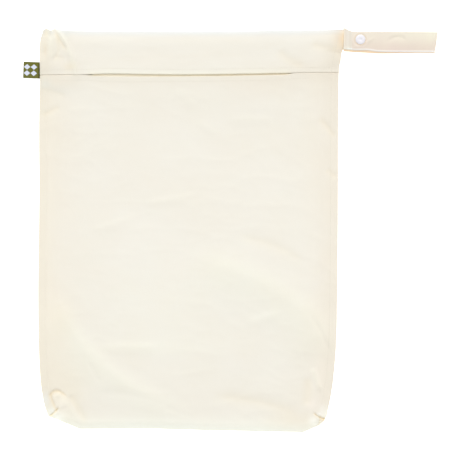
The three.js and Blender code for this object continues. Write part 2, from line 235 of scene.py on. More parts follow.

# Painted light and shade along the cloth's edges, which fade over a reach from the edge: painted shade on
# the side rolls and the top fold, painted light on the bottom fold, a painted highlight on the flap's hem,
# painted shade below the mouth, and painted light and shade in its lap
EDGE_PAINTED_SHADING = table(
    "edge reach tint",
    ("left", 36.0, (1.0, 0.976, 0.942)),
    ("left", 14.0, (0.955, 0.95, 0.935)),
    ("right", 36.0, (1.004, 0.98, 0.956)),
    ("right", 14.0, (0.972, 0.967, 0.955)),
    ("bottom", 14.0, (1.07, 1.10, 1.10)),
    ("bottom", 6.0, (1.05, 1.07, 1.07)),
    ("top", 6.0, (0.848, 0.893, 0.985)),
    ("flap hem", 5.0, (1.04, 1.055, 1.03)),
    ("front hem", 18.0, (0.978, 0.966, 0.95)),
    ("open lap", 1.5, (1.12, 1.06, 0.93)),
    ("shut lap", 1.0, (0.985, 0.965, 0.955)),
)

# Patches of painted light and shade: lighter at the boxed corners, painted warm shade where the strap joins
# and beside the folds, and lighter or darker tones elsewhere
PAINTED_SHADING_PATCHES = table(
    "at reach tint",
    ((0, 160), (400, 40), (0.985, 0.986, 0.985)),
    ((-20, -146), (75, 10), (1.012, 1.018, 1.012)),
    ((-160, -113), (18, 40), (1.005, 0.988, 0.972)),
    ((166, -175), (8, 35), (1.025, 1.018, 1.012)),
    ((0, -30), (150, 110), (1.006, 1.008, 1.012)),
    ((-160, -233), (9, 6), (1.03, 1.045, 1.07)),
    ((-176.5, -236), (4.5, 2.6), (0.91, 0.92, 0.935)),
    ((-155.5, -220.5), (6, 4), (1.035, 1.03, 1.045)),
    ((-163, -235.5), (5.5, 5), (1.06, 1.075, 1.11)),
    ((-178, -212), (4, 9), (1.01, 1.06, 1.14)),
    ((-158, -216), (8, 7), (1.04, 1.035, 1.05)),
    ((-170, -226), (5, 4), (1.02, 1.06, 1.12)),
    ((156.5, -239), (5, 6), (1.07, 1.10, 1.15)),
    ((163, -238), (3.5, 4), (0.94, 0.95, 0.965)),
    ((157, -190), (5, 10), (1.02, 1.03, 1.035)),
    ((156, -218), (7, 8), (1.035, 1.025, 1.04)),
    ((168, -227), (5, 8), (1.06, 1.08, 1.12)),
    ((169.5, -237.8), (3.5, 2.6), (0.92, 0.80, 0.66)),
    ((163.5, -230.5), (2.6, 2.2), (1.07, 1.09, 1.14)),
    ((127, -238), (32, 10), (0.985, 0.965, 0.935)),
    ((-147, -195), (26, 42), (1.0, 0.99, 0.96)),
    ((-40, -105), (75, 65), (1.005, 1.014, 1.008)),
    ((92, 178), (46, 18), (0.985, 0.968, 0.95)),
    ((134, 203), (34, 11), (0.975, 0.962, 0.95)),
    ((-171, 198), (15, 6), (0.95, 0.955, 0.965)),
    ((-178, 182), (8, 8), (1.01, 1.055, 1.10)),
    ((-164, 173), (18, 8), (0.957, 0.975, 0.995)),
    ((197, 238), (12, 15), (1.11, 0.985, 0.835)),
    ((-168, 232), (14, 16), (0.992, 1.008, 1.014)),
    ((-163, 242), (3, 8), (1.0, 0.99, 0.95)),
    ((-152, 242), (6, 6), (0.95, 0.965, 0.965)),
    ((-171.5, 243), (5, 5), (0.96, 0.97, 0.97)),
    ((115, 242), (35, 6), (0.975, 0.975, 0.98)),
    ((-177, 246), (3, 5), (1.03, 1.0, 0.92)),
    ((-172, 250), (9, 4), (1.10, 1.08, 1.02)),
    ((187.5, 225.6), (6, 9), (1.05, 1.045, 1.04)),
    ((195.5, 236), (2.6, 14), (1.07, 1.06, 1.04)),
    ((187, 240), (4.5, 9), (0.957, 0.957, 0.975)),
    ((-178, 225), (3, 9), (0.99, 0.96, 0.92)),
    ((-147, 203), (8, 6), (0.99, 0.965, 0.91)),
)
# Painted shade in creases, a painted highlight on ridges and painted golden shade along warm folds
CREASE_PAINTED_SHADE = (1.0, 0.955, 0.86)  # at a crease of the depth below
CREASE_DEPTH = 3.0
WARM_FOLD_PAINTED_SHADE = (0.99, 0.88, 0.70)  # along a fold that is warm
RIDGE_PAINTED_HIGHLIGHT = (1.0, 1.013, 0.998)  # at a ridge of the height below
RIDGE_HEIGHT = 3.0
# The flap hem's tint is a painted highlight
SHUT_HEM = 0.2  # share of the flap hem's tint where the mouth is shut

# A seam's rolled lip: how far out and how far towards the other panel each further step lies
LIP = table(
    "step out over",
    (0, 0.0, 0.0),
    (1, 0.40, 0.35),
    (2, 0.50, 0.85),
    (3, 0.25, 1.30),
)
LIP_STEPS = LIP[-1]["step"]
LIP_FLAT = 0.4  # how far out the lips lie at the ends of the top fold, where they don't turn over
LIP_DEEP = LIP[-1]["over"]

# Strap: the run sewn into the seam, then the run that comes back from the fold to the snap.
# x is the place along it, z the middle of its wall, low and high its two edges, and ledge the width of
# the under ply that shows below the edge.
STRAP_LOWER = table(
    "x z low high",
    (189.2, 2.1, 224.9, 245.0),
    (196.0, 2.2, 224.6, 245.6),
    (206.0, 2.6, 223.8, 246.0),
    (224.0, 2.6, 222.4, 246.2),
    (238.0, 2.2, 221.6, 246.2),
    (262.0, 1.3, 221.2, 246.4),
    (307.5, 0.75, 220.4, 246.4),
)
STRAP_UPPER = table(
    "x z low high ledge",
    (194.4, 4.6, 222.5, 252.4, 2.8),
    (198.0, 5.3, 222.3, 250.4, 2.8),
    (202.5, 6.6, 221.9, 248.0, 2.8),
    (208.0, 7.7, 221.3, 246.9, 2.8),
    (224.0, 8.1, 220.5, 246.8, 3.4),
    (238.0, 8.8, 219.6, 246.8, 2.4),
    (262.0, 10.0, 219.8, 246.7, 1.8),
    (307.5, 9.2, 220.4, 246.4, 1.0),
)

# Puckers and creases of the strap's upper run, as the folds above
STRAP_FOLDS = (
    Fold("snap pucker", (202, 226), (219, 229), (235, 242), 0.7, 1.3, 2.0, 0.2),
    Fold("loop crease", (247, 233), (261, 247), (274, 235), -0.9, 1.6, 3.5, 0.3),
)

# Snap cap from its rim to the dimple in its middle, as shares of its radius and height
CAP_PROFILE = table(
    "radius height",
    (0.0, 0.0),
    (0.93, 0.0),
    (0.985, 0.08),
    (1.0, 0.24),
    (0.985, 0.42),
    (0.94, 0.58),
    (0.86, 0.75),
    (0.74, 0.90),
    (0.60, 0.98),
    (0.46, 1.0),
    (0.36, 0.98),
    (0.30, 0.90),
    (0.24, 0.72),
    (0.14, 0.64),
    (0.0, 0.62),
)

# Socket pressed on its stud, as shares of its radius and height
CLASP_PROFILE = table(
    "radius height",
    (0.0, 0.0),
    (0.95, 0.0),
    (1.0, 0.06),
    (1.0, 0.28),
    (0.96, 0.34),
    (0.84, 0.40),
    (0.84, 0.50),
    (0.96, 0.56),
    (1.0, 0.62),
    (1.0, 0.94),
    (0.95, 1.0),
    (0.0, 1.0),
)


def length_property(name, description, size, precision=4):
    """A property that holds a length, with its default given in millimetres."""
    return FloatProperty(
        name=name, description=description, default=size * MM, unit="LENGTH", precision=precision)


def colour_property(name, description, default):
    """A property that holds a colour."""
    return FloatVectorProperty(
        name=name, description=description, subtype="COLOR", size=4, default=default)


class BagSizes(bpy.types.PropertyGroup):
    """Sizes of the bag's cloth, strap, snap, label and stitching."""

    cloth: length_property("Cloth", "Thickness of one layer of the laminated cotton", 0.7, precision=5)
    wall: length_property("Wall", "Thickness of a sewn panel, as in the frame", 1.2, precision=5)
    side_roll: length_property("Side roll", "Width over which the front falls to a side seam", 26)
    bottom_roll: length_property("Bottom roll", "Width over which the front falls to the bottom fold", 9)
    hem_radius: length_property(
        "Hem radius", "Outer radius of the turned hems at the mouth", 1.1, precision=5)
    hem_return: length_property("Hem return", "Length of cloth turned under at the mouth's hems", 10)
    topstitch: length_property("Topstitch", "Distance of the side topstitching from the seam", 9)
    stitch_pitch: length_property("Stitch pitch", "Distance from one stitch to the next", 3.0)
    stitch_length: length_property("Stitch length", "Length of one stitch", 2.3)
    thread: length_property("Thread", "Diameter of the sewing thread", 0.42, precision=5)
    strap_wall: length_property(
        "Strap wall", "Thickness of the strap, two plies of cloth", 1.2, precision=5)
    strap_hem: length_property("Strap hem", "Length of the strap's turned end", 10.4)
    snap_radius: length_property("Snap radius", "Radius of the snap's cap", 6.2)
    snap_height: length_property("Snap height", "Height of the snap's cap", 1.6)
    clasp_radius: length_property("Clasp radius", "Radius of the socket and stud", 5.3)
    label_width: length_property("Label width", "Width of the side label", 20.4)
    label_out: length_property("Label reach", "How far the label stands out of its seam", 21.2)
    label_tuck: length_property("Label tuck", "How far the label's ends are sewn in", 4)
    label_ply: length_property("Label ply", "Thickness of the woven ribbon", 0.5, precision=5)
    label_slope: FloatProperty(
        name="Label slope", description="Lean of the label", default=math.radians(-2.0), subtype="ANGLE")
    front_columns: IntProperty(
        name="Front columns", description="Cloth faces across a panel", default=162)
    front_rows: IntProperty(name="Front rows", description="Cloth faces up the front", default=202)


class BagColours(bpy.types.PropertyGroup):
    """Colours of the bag's finishes."""

    cloth: colour_property("Cloth", "Cream cotton", (0.86, 0.83, 0.745, 1))
    # Darker cotton, laid in random clouds and slubs over the panels
    cloth_worn: colour_property(
        "Cloth in creases", "Cream cotton where it is creased", (0.83, 0.775, 0.655, 1))
    strap: colour_property("Strap", "Cotton of the strap", (0.84, 0.775, 0.645, 1))
    strap_worn: colour_property(
        "Strap worn", "Pinker cotton of the strap where it is worn", (0.80, 0.70, 0.615, 1))
    thread: colour_property("Thread", "Sewing thread", (0.84, 0.80, 0.70, 1))
    snap: colour_property("Snap", "White moulded plastic", (0.865, 0.85, 0.895, 1))
    label: colour_property("Label", "Olive weave of the label", (0.165, 0.165, 0.022, 1))
    label_pale: colour_property("Label pale", "Pale weave of the label", (0.70, 0.74, 0.86, 1))
    floor: colour_property("Floor", "White floor", (0.97, 0.97, 0.97, 1))


class BagStage(bpy.types.PropertyGroup):
    """Camera and light."""

    view_width: length_property("View width", "Width of the floor that the camera takes in", 575)
    aim: FloatVectorProperty(
        name="Aim", description="Place on the floor at the middle of the picture",
        size=2, unit="LENGTH", default=(52.5 * MM, -0.6 * MM))
    lens: FloatProperty(name="Lens", description="Focal length in millimetres", default=300.0)
    world: FloatProperty(name="World", description="Strength of the even light all round", default=0.63)
    key: FloatProperty(
        name="Key", description="Strength of the light from beyond the top fold", default=1.7)
    fill: FloatProperty(
        name="Fill", description="Strength of the light from below the bottom", default=0.4)
    glow: FloatProperty(
        name="Glow", description="Light that the white floor gives of itself", default=0.7)


def smooth_curve(rows, key, column):
    """A column of a table as a smooth curve through its rows."""
    places = np.array([row[key] for row in rows])
    values = np.array([row[column] for row in rows])
    slopes = np.empty_like(values)
    slopes[1:-1] = (values[2:] - values[:-2]) / (places[2:] - places[:-2])
    slopes[0] = (values[1] - values[0]) / (places[1] - places[0])
    slopes[-1] = (values[-1] - values[-2]) / (places[-1] - places[-2])

    def at(place):
        place = np.clip(place, places[0], places[-1])
        i = np.clip(np.searchsorted(places, place) - 1, 0, len(places) - 2)
        span = places[i + 1] - places[i]
        t = (place - places[i]) / span
        start = (1 + 2 * t) * (1 - t) ** 2 * values[i] + t * (1 - t) ** 2 * span * slopes[i]
        end = t * t * (3 - 2 * t) * values[i + 1] + t * t * (t - 1) * span * slopes[i + 1]
        return start + end

    return at


def straight_curve(rows, key, column):
    """A column of a table as straight lines between its rows."""
    places = [row[key] for row in rows]
    values = [row[column] for row in rows]
    return lambda place: np.interp(place, places, values)


side_left = smooth_curve(SIDE_EDGES, "y", "left")
side_right = smooth_curve(SIDE_EDGES, "y", "right")
bottom_edge = straight_curve(BOTTOM_EDGE, "x", "y")
top_edge = smooth_curve(TOP_EDGE, "x", "y")
loft = smooth_curve(LOFT, "y", "rise")
mouth_upper = smooth_curve(MOUTH, "x", "upper")
mouth_lower = smooth_curve(MOUTH, "x", "lower")
lip_out = straight_curve(LIP, "step", "out")
lip_over = straight_curve(LIP, "step", "over")

CORNER_Y = SIDE_EDGES[0]["y"]
TOP_Y = SIDE_EDGES[-1]["y"]
MOUTH_Y = 194.3  # height of the mouth, where the side seams pass it
TOP_LINE = 240.0  # height up the bag whose thickness the top fold takes
DOME = 20.0  # the flap falls to the top fold over this length
CROWN_FADE = 4.0  # folds die away over this length at the top fold
SEAM_GAP = 0.3  # room between two layers that are sewn together
LABEL_Y = 198.8  # height of the label's middle
LABEL_LIFT = 1.7  # the seam climbs this much over the label
LABEL_RAMP = 14.0  # along this length
STRAP_LIFT = 1.5  # and this much over the strap's end
STRAP_RAMP = 4.0  # along this length
TUCK_EDGE = 1.0  # beside the end the lips close again over this length
SNAP_AT = (215.3, 237.2)  # the snap's middle
STRAP_SKEW = 3.9  # the loop's fold runs this far askew across the strap
LIP_RISE = 0.9  # where the mouth gapes, the flap's hem lifts by this much
DIP = 0.6  # and the front sinks by this much
DIP_REACH = 26.0  # over this length from the mouth
STEP = 1.3  # then it steps down by this much at the mouth
STEP_HALF = 0.7  # within this distance of its edge
LAP = 2.5  # and runs on this far under the flap's edge
LIFT_GAPES = (0.4, 1.0)  # the lift, dip and step grow between these two gapes
LAP_GAPES = (0.9, 1.5)  # and the lap between these
TINT_GAPES = (0.2, 1.0)  # the mouth's tints change between these
LAP_START = 3.0  # rows crowd together from this far below the mouth


def smoothstep(value, low, high):
    t = np.clip((value - low) / (high - low), 0.0, 1.0)
    return t * t * (3 - 2 * t)


def lerp(start, end, share):
    return start + (end - start) * share


def soft_edge(share):
    """Rise of a soft edge, from 0 at the edge to 1 at its full width and beyond."""
    return np.sin(np.pi / 2 * np.clip(share, 0.0, 1.0))


def bell(distance, width):
    """Fall from 1 at no distance to almost 0 at twice a half width."""
    return np.exp(-((distance / width) ** 2))


def bent_line(fold, steps):
    """Points along a fold's smooth line."""
    start, past, end = (np.array(point, float) for point in (fold.start, fold.past, fold.end))
    t = np.linspace(0.0, 1.0, steps + 1)[:, None]
    return (1 - t) ** 2 * start + 2 * t * (1 - t) * past + t * t * end


def fold_shape(fold, x, y):
    """Which points a fold reaches, and its profile there from 0 to 1."""
    line = bent_line(fold, FOLD_STEPS)
    reach = FOLD_REACH * max(fold.near, fold.far)
    low, high = line.min(axis=0) - reach, line.max(axis=0) + reach
    close = (x > low[0]) & (x < high[0]) & (y > low[1]) & (y < high[1])
    px, py = x[close], y[close]
    nearest = np.full(px.shape, np.inf)
    share = np.zeros_like(px)
    on_left = np.zeros(px.shape, bool)
    for i in range(FOLD_STEPS):
        cx, cy = line[i + 1] - line[i]
        along = np.clip(((px - line[i][0]) * cx + (py - line[i][1]) * cy) / (cx * cx + cy * cy), 0, 1)
        ox = px - line[i][0] - along * cx
        oy = py - line[i][1] - along * cy
        distance = np.hypot(ox, oy)
        nearer = distance < nearest
        nearest = np.where(nearer, distance, nearest)
        share = np.where(nearer, (i + along) / FOLD_STEPS, share)
        on_left = np.where(nearer, cx * oy - cy * ox > 0, on_left)
    width = np.where(on_left, fold.near, fold.far)
    rounded = bell(nearest, width)
    sharp = np.exp(-CRISP_FALL * (np.hypot(nearest, CRISP_TIP * width) / width - CRISP_TIP))
    ends = smoothstep(share, 0, FOLD_END) * smoothstep(1 - share, 0, FOLD_END)
    return close, ends * lerp(rounded, sharp * rounded ** CRISP_FOOT, fold.crisp)


def folds_on(folds, x, y, amount="height"):
    """The amount that folds add at points: their height, or how warm they look."""
    total = np.zeros_like(x)
    for fold in folds:
        most = getattr(fold, amount)
        if most:
            close, profile = fold_shape(fold, x, y)
            total[close] += most * profile
    return total


def unevenness(x, y):
    """Slight swells of cloth that has been handled."""
    height = np.zeros_like(x)
    for row in UNEVENNESS:
        span = row["span"]
        swells = [noise.noise(Vector((a, b, span))) for a, b in zip(x / span, y / span)]
        height += row["height"] * np.array(swells)
    return height


def crumples(x, y):
    """Small sharp ridges in patches, as left by packing."""
    height = np.zeros_like(x)
    for row in CRUMPLES:
        across, up, patch = row["across"], row["up"], row["patch"]
        ridges = [
            (1 - abs(noise.noise(Vector((a / across, b / up, patch))))) ** CRUMPLE_CREST
            * max(0.0, CRUMPLE_SPREAD + noise.noise(Vector((a / patch, b / patch, across))))
            for a, b in zip(x, y)
        ]
        height += row["height"] * np.array(ridges)
    return height


def cloth_painted_shading(x, y, relief):
    """Tint of painted light and shade at points of the front and the flap, from its edges, patches and
    creases.
    """
    upper, lower = mouth_upper(x), mouth_lower(x)
    opened = smoothstep(upper - lower, *TINT_GAPES)
    lap = np.abs(y - (upper + lower) / 2)
    whole = np.ones_like(x)
    edges = {
        "left": (whole, np.maximum(0.0, x - side_left(y))),
        "right": (whole, np.maximum(0.0, side_right(y) - x)),
        "bottom": (whole, np.maximum(0.0, y - bottom_edge(x))),
        "top": (whole, np.maximum(0.0, top_edge(x) - y)),
        "flap hem": (lerp(SHUT_HEM, 1.0, opened), np.where(y >= upper, y - upper, np.inf)),
        "front hem": (whole, np.where(y < upper, upper - y, np.inf)),
        "open lap": (opened, lap),
        "shut lap": (1 - opened, lap),
    }
    tint = np.ones((len(x), 4))

    def blend(share, colour):
        tint[:, :3] *= 1 + share[:, None] * (np.array(colour) - 1)

    for row in EDGE_PAINTED_SHADING:
        share, away = edges[row["edge"]]
        blend(share * bell(away, row["reach"]), row["tint"])
    for row in PAINTED_SHADING_PATCHES:
        spans = zip((x, y), row["at"], row["reach"])
        away = sum(((value - middle) / reach) ** 2 for value, middle, reach in spans)
        blend(np.exp(-away), row["tint"])
    # Painted shade in creases, a painted highlight on ridges and painted golden shade along warm folds
    blend(np.clip(-relief / CREASE_DEPTH, 0, 1), CREASE_PAINTED_SHADE)
    blend(np.clip(relief / RIDGE_HEIGHT, 0, 1), RIDGE_PAINTED_HIGHLIGHT)
    blend(np.where(relief == 0, 0.0, folds_on(FOLDS, x, y, "warm")), WARM_FOLD_PAINTED_SHADE)
    return tint


def sewn_end(y, on_label_side, ramp, sizes):
    """How far the nearer side seam holds the label or the strap at a height, fading over a ramp."""
    half_label = sizes.label_width / MM / 2
    low = np.where(on_label_side, LABEL_Y - half_label, STRAP_LOWER[0]["low"])
    high = np.where(on_label_side, LABEL_Y + half_label, STRAP_LOWER[0]["high"])
    return smoothstep(y, low - ramp, low) * smoothstep(-y, -high - ramp, -high)


def seam_lift(y, on_label_side, sizes):
    """Lift of the nearer side seam over the label or over the strap."""
    lift = np.where(on_label_side, LABEL_LIFT, STRAP_LIFT)
    return lift * sewn_end(y, on_label_side, np.where(on_label_side, LABEL_RAMP, STRAP_RAMP), sizes)


def lip_fall(y, left_steps, right_steps, sizes):
    """How far the side lips turn over to the other panel, with more to close beside a sewn-in end."""
    on_label_side = left_steps > 0
    empty = seam_lift(y, on_label_side, sizes) * (1 - sewn_end(y, on_label_side, TUCK_EDGE, sizes))
    return (lip_over(left_steps) + lip_over(right_steps)) * (1 + empty / LIP_DEEP)


def from_edges(x, y):
    """Distances to the left and right seams and to the bottom fold."""
    return x - side_left(y), side_right(y) - x, np.maximum(0.0, y - bottom_edge(x))


def flat_height(x, y, sizes):
    """Height of the front's outer face without its folds, at points between the side seams."""
    left, right, up = from_edges(x, y)
    side = np.maximum(0.0, np.minimum(left, right))
    roll = sizes.side_roll / MM
    lift = seam_lift(y, left < right, sizes) * (1 - smoothstep(side, 0, roll))
    pillow = loft(y) * soft_edge(side / roll) * soft_edge(up / (sizes.bottom_roll / MM))
    return 2 * sizes.wall / MM + SEAM_GAP + lift + pillow


def cloth_relief(x, y):
    """Height that folds, swells and crumples add to the outer face."""
    left, right, up = from_edges(x, y)
    side = np.maximum(0.0, np.minimum(left, right))
    fade = soft_edge(side / FOLD_FADE) * soft_edge(up / FOLD_FADE)
    return fade * (folds_on(FOLDS, x, y) + unevenness(x, y) + crumples(x, y))


def lip_steps(share, columns):
    """For points at shares across a grid: the share between its lips, and the steps into each lip."""
    inner = share * columns - LIP_STEPS
    body = columns - 2 * LIP_STEPS
    first, last = np.clip(-inner, 0, LIP_STEPS), np.clip(inner - body, 0, LIP_STEPS)
    return np.clip(inner / body, 0, 1), first, last


def round_corner(side, bottom):
    """For steps into a side lip, minus to the left, and the bottom's: the steps, and the ways out in X, Y."""
    reach = np.maximum(np.hypot(side, bottom), 1e-6)
    return np.maximum(np.abs(side), bottom), side / reach, -bottom / reach


EDGE_CROWDING = 0.05  # grid columns crowd towards the side seams


def crowded(share, crowding=EDGE_CROWDING):
    """A share moved towards the nearer end."""
    return share - crowding * np.sin(2 * np.pi * share)


def between_seams(station, inset, share):
    """Places at shares of the way from the left seam to the right, at heights, drawn in by an inset."""
    return lerp(side_left(station) + inset, side_right(station) - inset, crowded(share))


def split_patches(bm, patches):
    """Splits the faces of a unit grid in patches, each given by its lowest and highest shares."""
    for low, high in patches:
        faces = []
        for face in bm.faces:
            middle = face.calc_center_median()
            if all(low[i] < middle[i] + 0.5 < high[i] for i in range(2)):
                faces.append(face)
        edges = dict.fromkeys(edge for face in faces for edge in face.edges)
        bmesh.ops.subdivide_edges(bm, edges=list(edges), cuts=1, use_grid_fill=True)


def new_object(name, bm):
    """A smooth piece in the scene, from a finished bmesh."""
    mesh = bpy.data.meshes.new(name)
    bm.to_mesh(mesh)
    bm.free()
    mesh.shade_smooth()
    obj = bpy.data.objects.new(name, mesh)
    bpy.context.scene.collection.objects.link(obj)
    return obj


def cloth_object(name, columns, rows, cut, place, patches=()):
    """A sheet of cloth: a grid whose points are laid by a function of their shares across and along.

    The function gives their coordinates, and their tints of painted light and shade or None. The faces are
    split in patches that have small folds. The UV map holds the cut's flat size in metres, so that a weave
    keeps its scale.
    """
    bm = bmesh.new()
    bm.loops.layers.uv.new("cut")
    bmesh.ops.create_grid(bm, x_segments=columns, y_segments=rows, size=0.5, calc_uvs=True)
    split_patches(bm, patches)
    obj = new_object(name, bm)
    mesh = obj.data
    flat = np.empty(len(mesh.vertices) * 3)
    mesh.vertices.foreach_get("co", flat)
    points, tint = place(flat[0::3] + 0.5, flat[1::3] + 0.5)
    mesh.vertices.foreach_set("co", (np.stack(points, axis=1) * MM).ravel())
    uv = mesh.uv_layers["cut"].data
    shares = np.empty(len(uv) * 2)
    uv.foreach_get("uv", shares)
    uv.foreach_set("uv", (shares.reshape(-1, 2) * np.array(cut)).ravel())
    # The tints hold painted light and shade
    if tint is not None:
        attribute = mesh.attributes.new("tint", "FLOAT_COLOR", "POINT")
        attribute.data.foreach_set("color", np.asarray(tint, np.float32).ravel())
    mesh.update()
    return obj


def thicken(obj, thickness, offset):
    """A live wall of a thickness, on the inner side of the sheet for an offset of -1."""
    solid = obj.modifiers.new("wall", "SOLIDIFY")
    solid.thickness = thickness
    solid.offset = offset
    solid.use_quality_normals = True


def settle(obj, material, slot, *nodes):
    """Gives a piece its finish, lets it ride on the bag and stand for its solids."""
    obj.data.materials.clear()
    obj.data.materials.append(material)
    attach(obj, BODY)
    if nodes:
        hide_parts(*nodes)


class Shader:
    """A material's node tree, with short calls to add nodes and join them."""

    def __init__(self, name):
        self.material = bpy.data.materials.new(name)
        self.material.use_nodes = True
        self.tree = self.material.node_tree
        self.tree.nodes.clear()
        output = self.tree.nodes.new("ShaderNodeOutputMaterial")
        self.surface = self.tree.nodes.new("ShaderNodeBsdfPrincipled")
        self.tree.links.new(self.surface.outputs["BSDF"], output.inputs["Surface"])

    def feed(self, socket, value):
        """Joins a socket to another, or sets its own value."""
        if isinstance(value, bpy.types.NodeSocket):
            self.tree.links.new(value, socket)
        else:
            socket.default_value = value

    def add(self, kind, inputs=(), **settings):
        """A new node with its settings, and its inputs as pairs of a name or number and a value."""
        node = self.tree.nodes.new(kind)
        for name, value in settings.items():
            setattr(node, name, value)
        for name, value in dict(inputs).items():
            self.feed(node.inputs[name], value)
        return node

    def place(self):
        """Places on a piece, in metres."""
        return self.add("ShaderNodeTexCoord").outputs["Object"]

    def cut(self):
        """Places on a sheet's flat cut, in metres: together, across it and along it."""
        cut = self.add("ShaderNodeUVMap", uv_map="cut").outputs["UV"]
        split = self.add("ShaderNodeSeparateXYZ", {"Vector": cut})
        return cut, split.outputs["X"], split.outputs["Y"]

    def math(self, operation, *values):
        node = self.add("ShaderNodeMath", dict(enumerate(values)), operation=operation)
        return node.outputs[0]

    def noise(self, vector, scale, detail=2.0):
        node = self.add("ShaderNodeTexNoise", {"Vector": vector, "Scale": scale, "Detail": detail})
        return node.outputs["Fac"]

    def ripple(self, value, pitch):
        """Waves along a value, at a pitch."""
        return self.math("SINE", self.math("MULTIPLY", value, math.tau / pitch))

    def away(self, value, middle):
        """Distance of a value from a middle."""
        return self.math("ABSOLUTE", self.math("SUBTRACT", value, middle))

    def blend(self, first, share, second, other_share):
        """A sum of shares of two values."""
        parts = [self.math("MULTIPLY", *pair) for pair in ((first, share), (second, other_share))]
        return self.math("ADD", *parts)

    def spread(self, value, low, high, start=0.0, end=1.0):
        """A value from a start to an end, spread over a range from low to high."""
        inputs = {0: value, 1: start, 2: end, 3: low, 4: high}
        return self.add("ShaderNodeMapRange", inputs).outputs[0]

    def mix(self, share, first, second, blend="MIX"):
        """A colour between two others, or a blend of them."""
        inputs = {"Factor": share, "A": first, "B": second}
        node = self.add("ShaderNodeMix", data_type="RGBA", blend_type=blend)
        for socket in node.inputs:
            if socket.enabled and socket.name in inputs:
                self.feed(socket, inputs[socket.name])
        return next(out for out in node.outputs if out.enabled)

    def bump(self, height, strength, distance):
        node = self.add("ShaderNodeBump", {"Height": height, "Strength": strength, "Distance": distance})
        self.feed(self.surface.inputs["Normal"], node.outputs["Normal"])

    def set(self, **values):
        """Sets the surface's sockets, with _ for the spaces in their names."""
        for name, value in values.items():
            self.feed(self.surface.inputs[name.replace("_", " ")], value)


WEAVE_PITCH = 0.55 * MM  # from one cotton yarn to the next
WEAVE_RELIEF = 0.5  # share of the weave in the cloth's relief
SLUB_RELIEF = 0.7  # and of the slubs, the yarns' thicker stretches
SLUB_STRETCH = ((60.0, 1400.0, 1.0), (1400.0, 60.0, 1.0))  # the slubs along and across the cloth
SLUB_RANGE = dict(start=0.7, end=1.3)  # from the thinnest slubs to the thickest
CLOUD_RANGE = dict(start=0.35, end=0.75)  # from the least worn cloth to the most
ROUGHNESS_RANGE = 0.06  # each way


def toned(colour, share):
    """A darker tone of a colour."""
    return tuple(share * part for part in colour[:3]) + (1.0,)


def woven_cotton(name, colour, worn_colour, roughness, cloud=0.3):
    """Plain-woven cotton: fine over-and-under yarns, slubs and cloudy wear, under the sheet's painted light
    and shade.
    """
    shader = Shader(name)
    cut, across, along = shader.cut()
    weave = shader.math("MULTIPLY", *(shader.ripple(way, 2 * WEAVE_PITCH) for way in (across, along)))
    slubs = []
    for scale in SLUB_STRETCH:
        stretched = shader.add("ShaderNodeMapping", {"Vector": cut, "Scale": scale}).outputs["Vector"]
        slubs.append(shader.noise(stretched, scale=1.0, detail=3.0))
    slub = shader.math("ADD", *slubs)
    shader.bump(shader.blend(weave, WEAVE_RELIEF, slub, SLUB_RELIEF), strength=0.22, distance=0.12 * MM)
    cloudy = shader.noise(cut, scale=16.0, detail=4.0)
    # The sheet's tint: painted light and shade laid on its points
    tint = shader.add("ShaderNodeAttribute", attribute_name="tint").outputs["Color"]
    wear = shader.spread(cloudy, 0.0, cloud, **CLOUD_RANGE)
    worn = shader.math("ADD", wear, shader.spread(slub, -0.05, 0.1, **SLUB_RANGE))
    share = shader.add("ShaderNodeClamp", {"Value": worn}).outputs[0]
    yarn = shader.mix(share, tuple(colour), tuple(worn_colour))
    rough = (roughness - ROUGHNESS_RANGE, roughness + ROUGHNESS_RANGE)
    shader.set(
        Base_Color=shader.mix(1.0, yarn, tint, "MULTIPLY"),
        Roughness=shader.spread(slub, *rough, **SLUB_RANGE),
        Specular_IOR_Level=0.22,
        Sheen_Weight=0.12,
        Sheen_Roughness=0.5,
    )
    return shader.material


def sewing_thread(name, colour):
    """Spun thread: twisted plies along each stitch."""
    shader = Shader(name)
    inputs = {"Vector": shader.place(), "Scale": 900.0, "Distortion": 0.6}
    twist = shader.add("ShaderNodeTexWave", inputs, bands_direction="DIAGONAL").outputs["Fac"]
    shader.bump(twist, strength=0.3, distance=0.06 * MM)
    shader.set(
        # Painted shade in the twist: the thread is darker where its plies' relief is low
        Base_Color=shader.mix(twist, toned(colour, 0.9), tuple(colour)),
        Roughness=shader.spread(twist, 0.6, 0.75),
        Specular_IOR_Level=0.3,
    )
    return shader.material


def moulded_plastic(name, colour):
    """White moulded plastic with a faint flow mottle and a soft gloss."""
    shader = Shader(name)
    mottle = shader.noise(shader.place(), scale=240.0)
    fine = shader.noise(shader.place(), scale=5000.0)
    shader.bump(fine, strength=0.05, distance=0.02 * MM)
    shader.set(
        Base_Color=shader.mix(mottle, toned(colour, 0.97), tuple(colour)),
        Roughness=shader.spread(mottle, 0.22, 0.34, start=0.3, end=0.7),
        IOR=1.49,
    )
    return shader.material


def white_floor(name, colour, glow):
    """Smooth white board with a trace of unevenness, lit from below."""
    shader = Shader(name)
    mottle = shader.noise(shader.place(), scale=6.0, detail=3.0)
    shader.set(
        Base_Color=shader.mix(mottle, toned(colour, 0.995), tuple(colour)),
        Roughness=shader.spread(mottle, 0.85, 0.95),
        Specular_IOR_Level=0.0,
        Emission_Color=(1.0, 1.0, 1.0, 1.0),
        Emission_Strength=glow,
    )
    return shader.material


HEM_TURN_ROWS = 7  # rows round a turned hem
HEM_BACK_ROWS = 5  # rows of the cloth turned under


def hem_rows(row, body, sizes):
    """For rows past a start: the share up to the hem, the angle round it, and the way back under it."""
    turn = np.pi * np.clip((row - body) / HEM_TURN_ROWS, 0, 1)
    under = np.clip((row - body - HEM_TURN_ROWS) / HEM_BACK_ROWS, 0, 1) * sizes.hem_return / MM
    return np.clip(row / body, 0, 1), turn, under


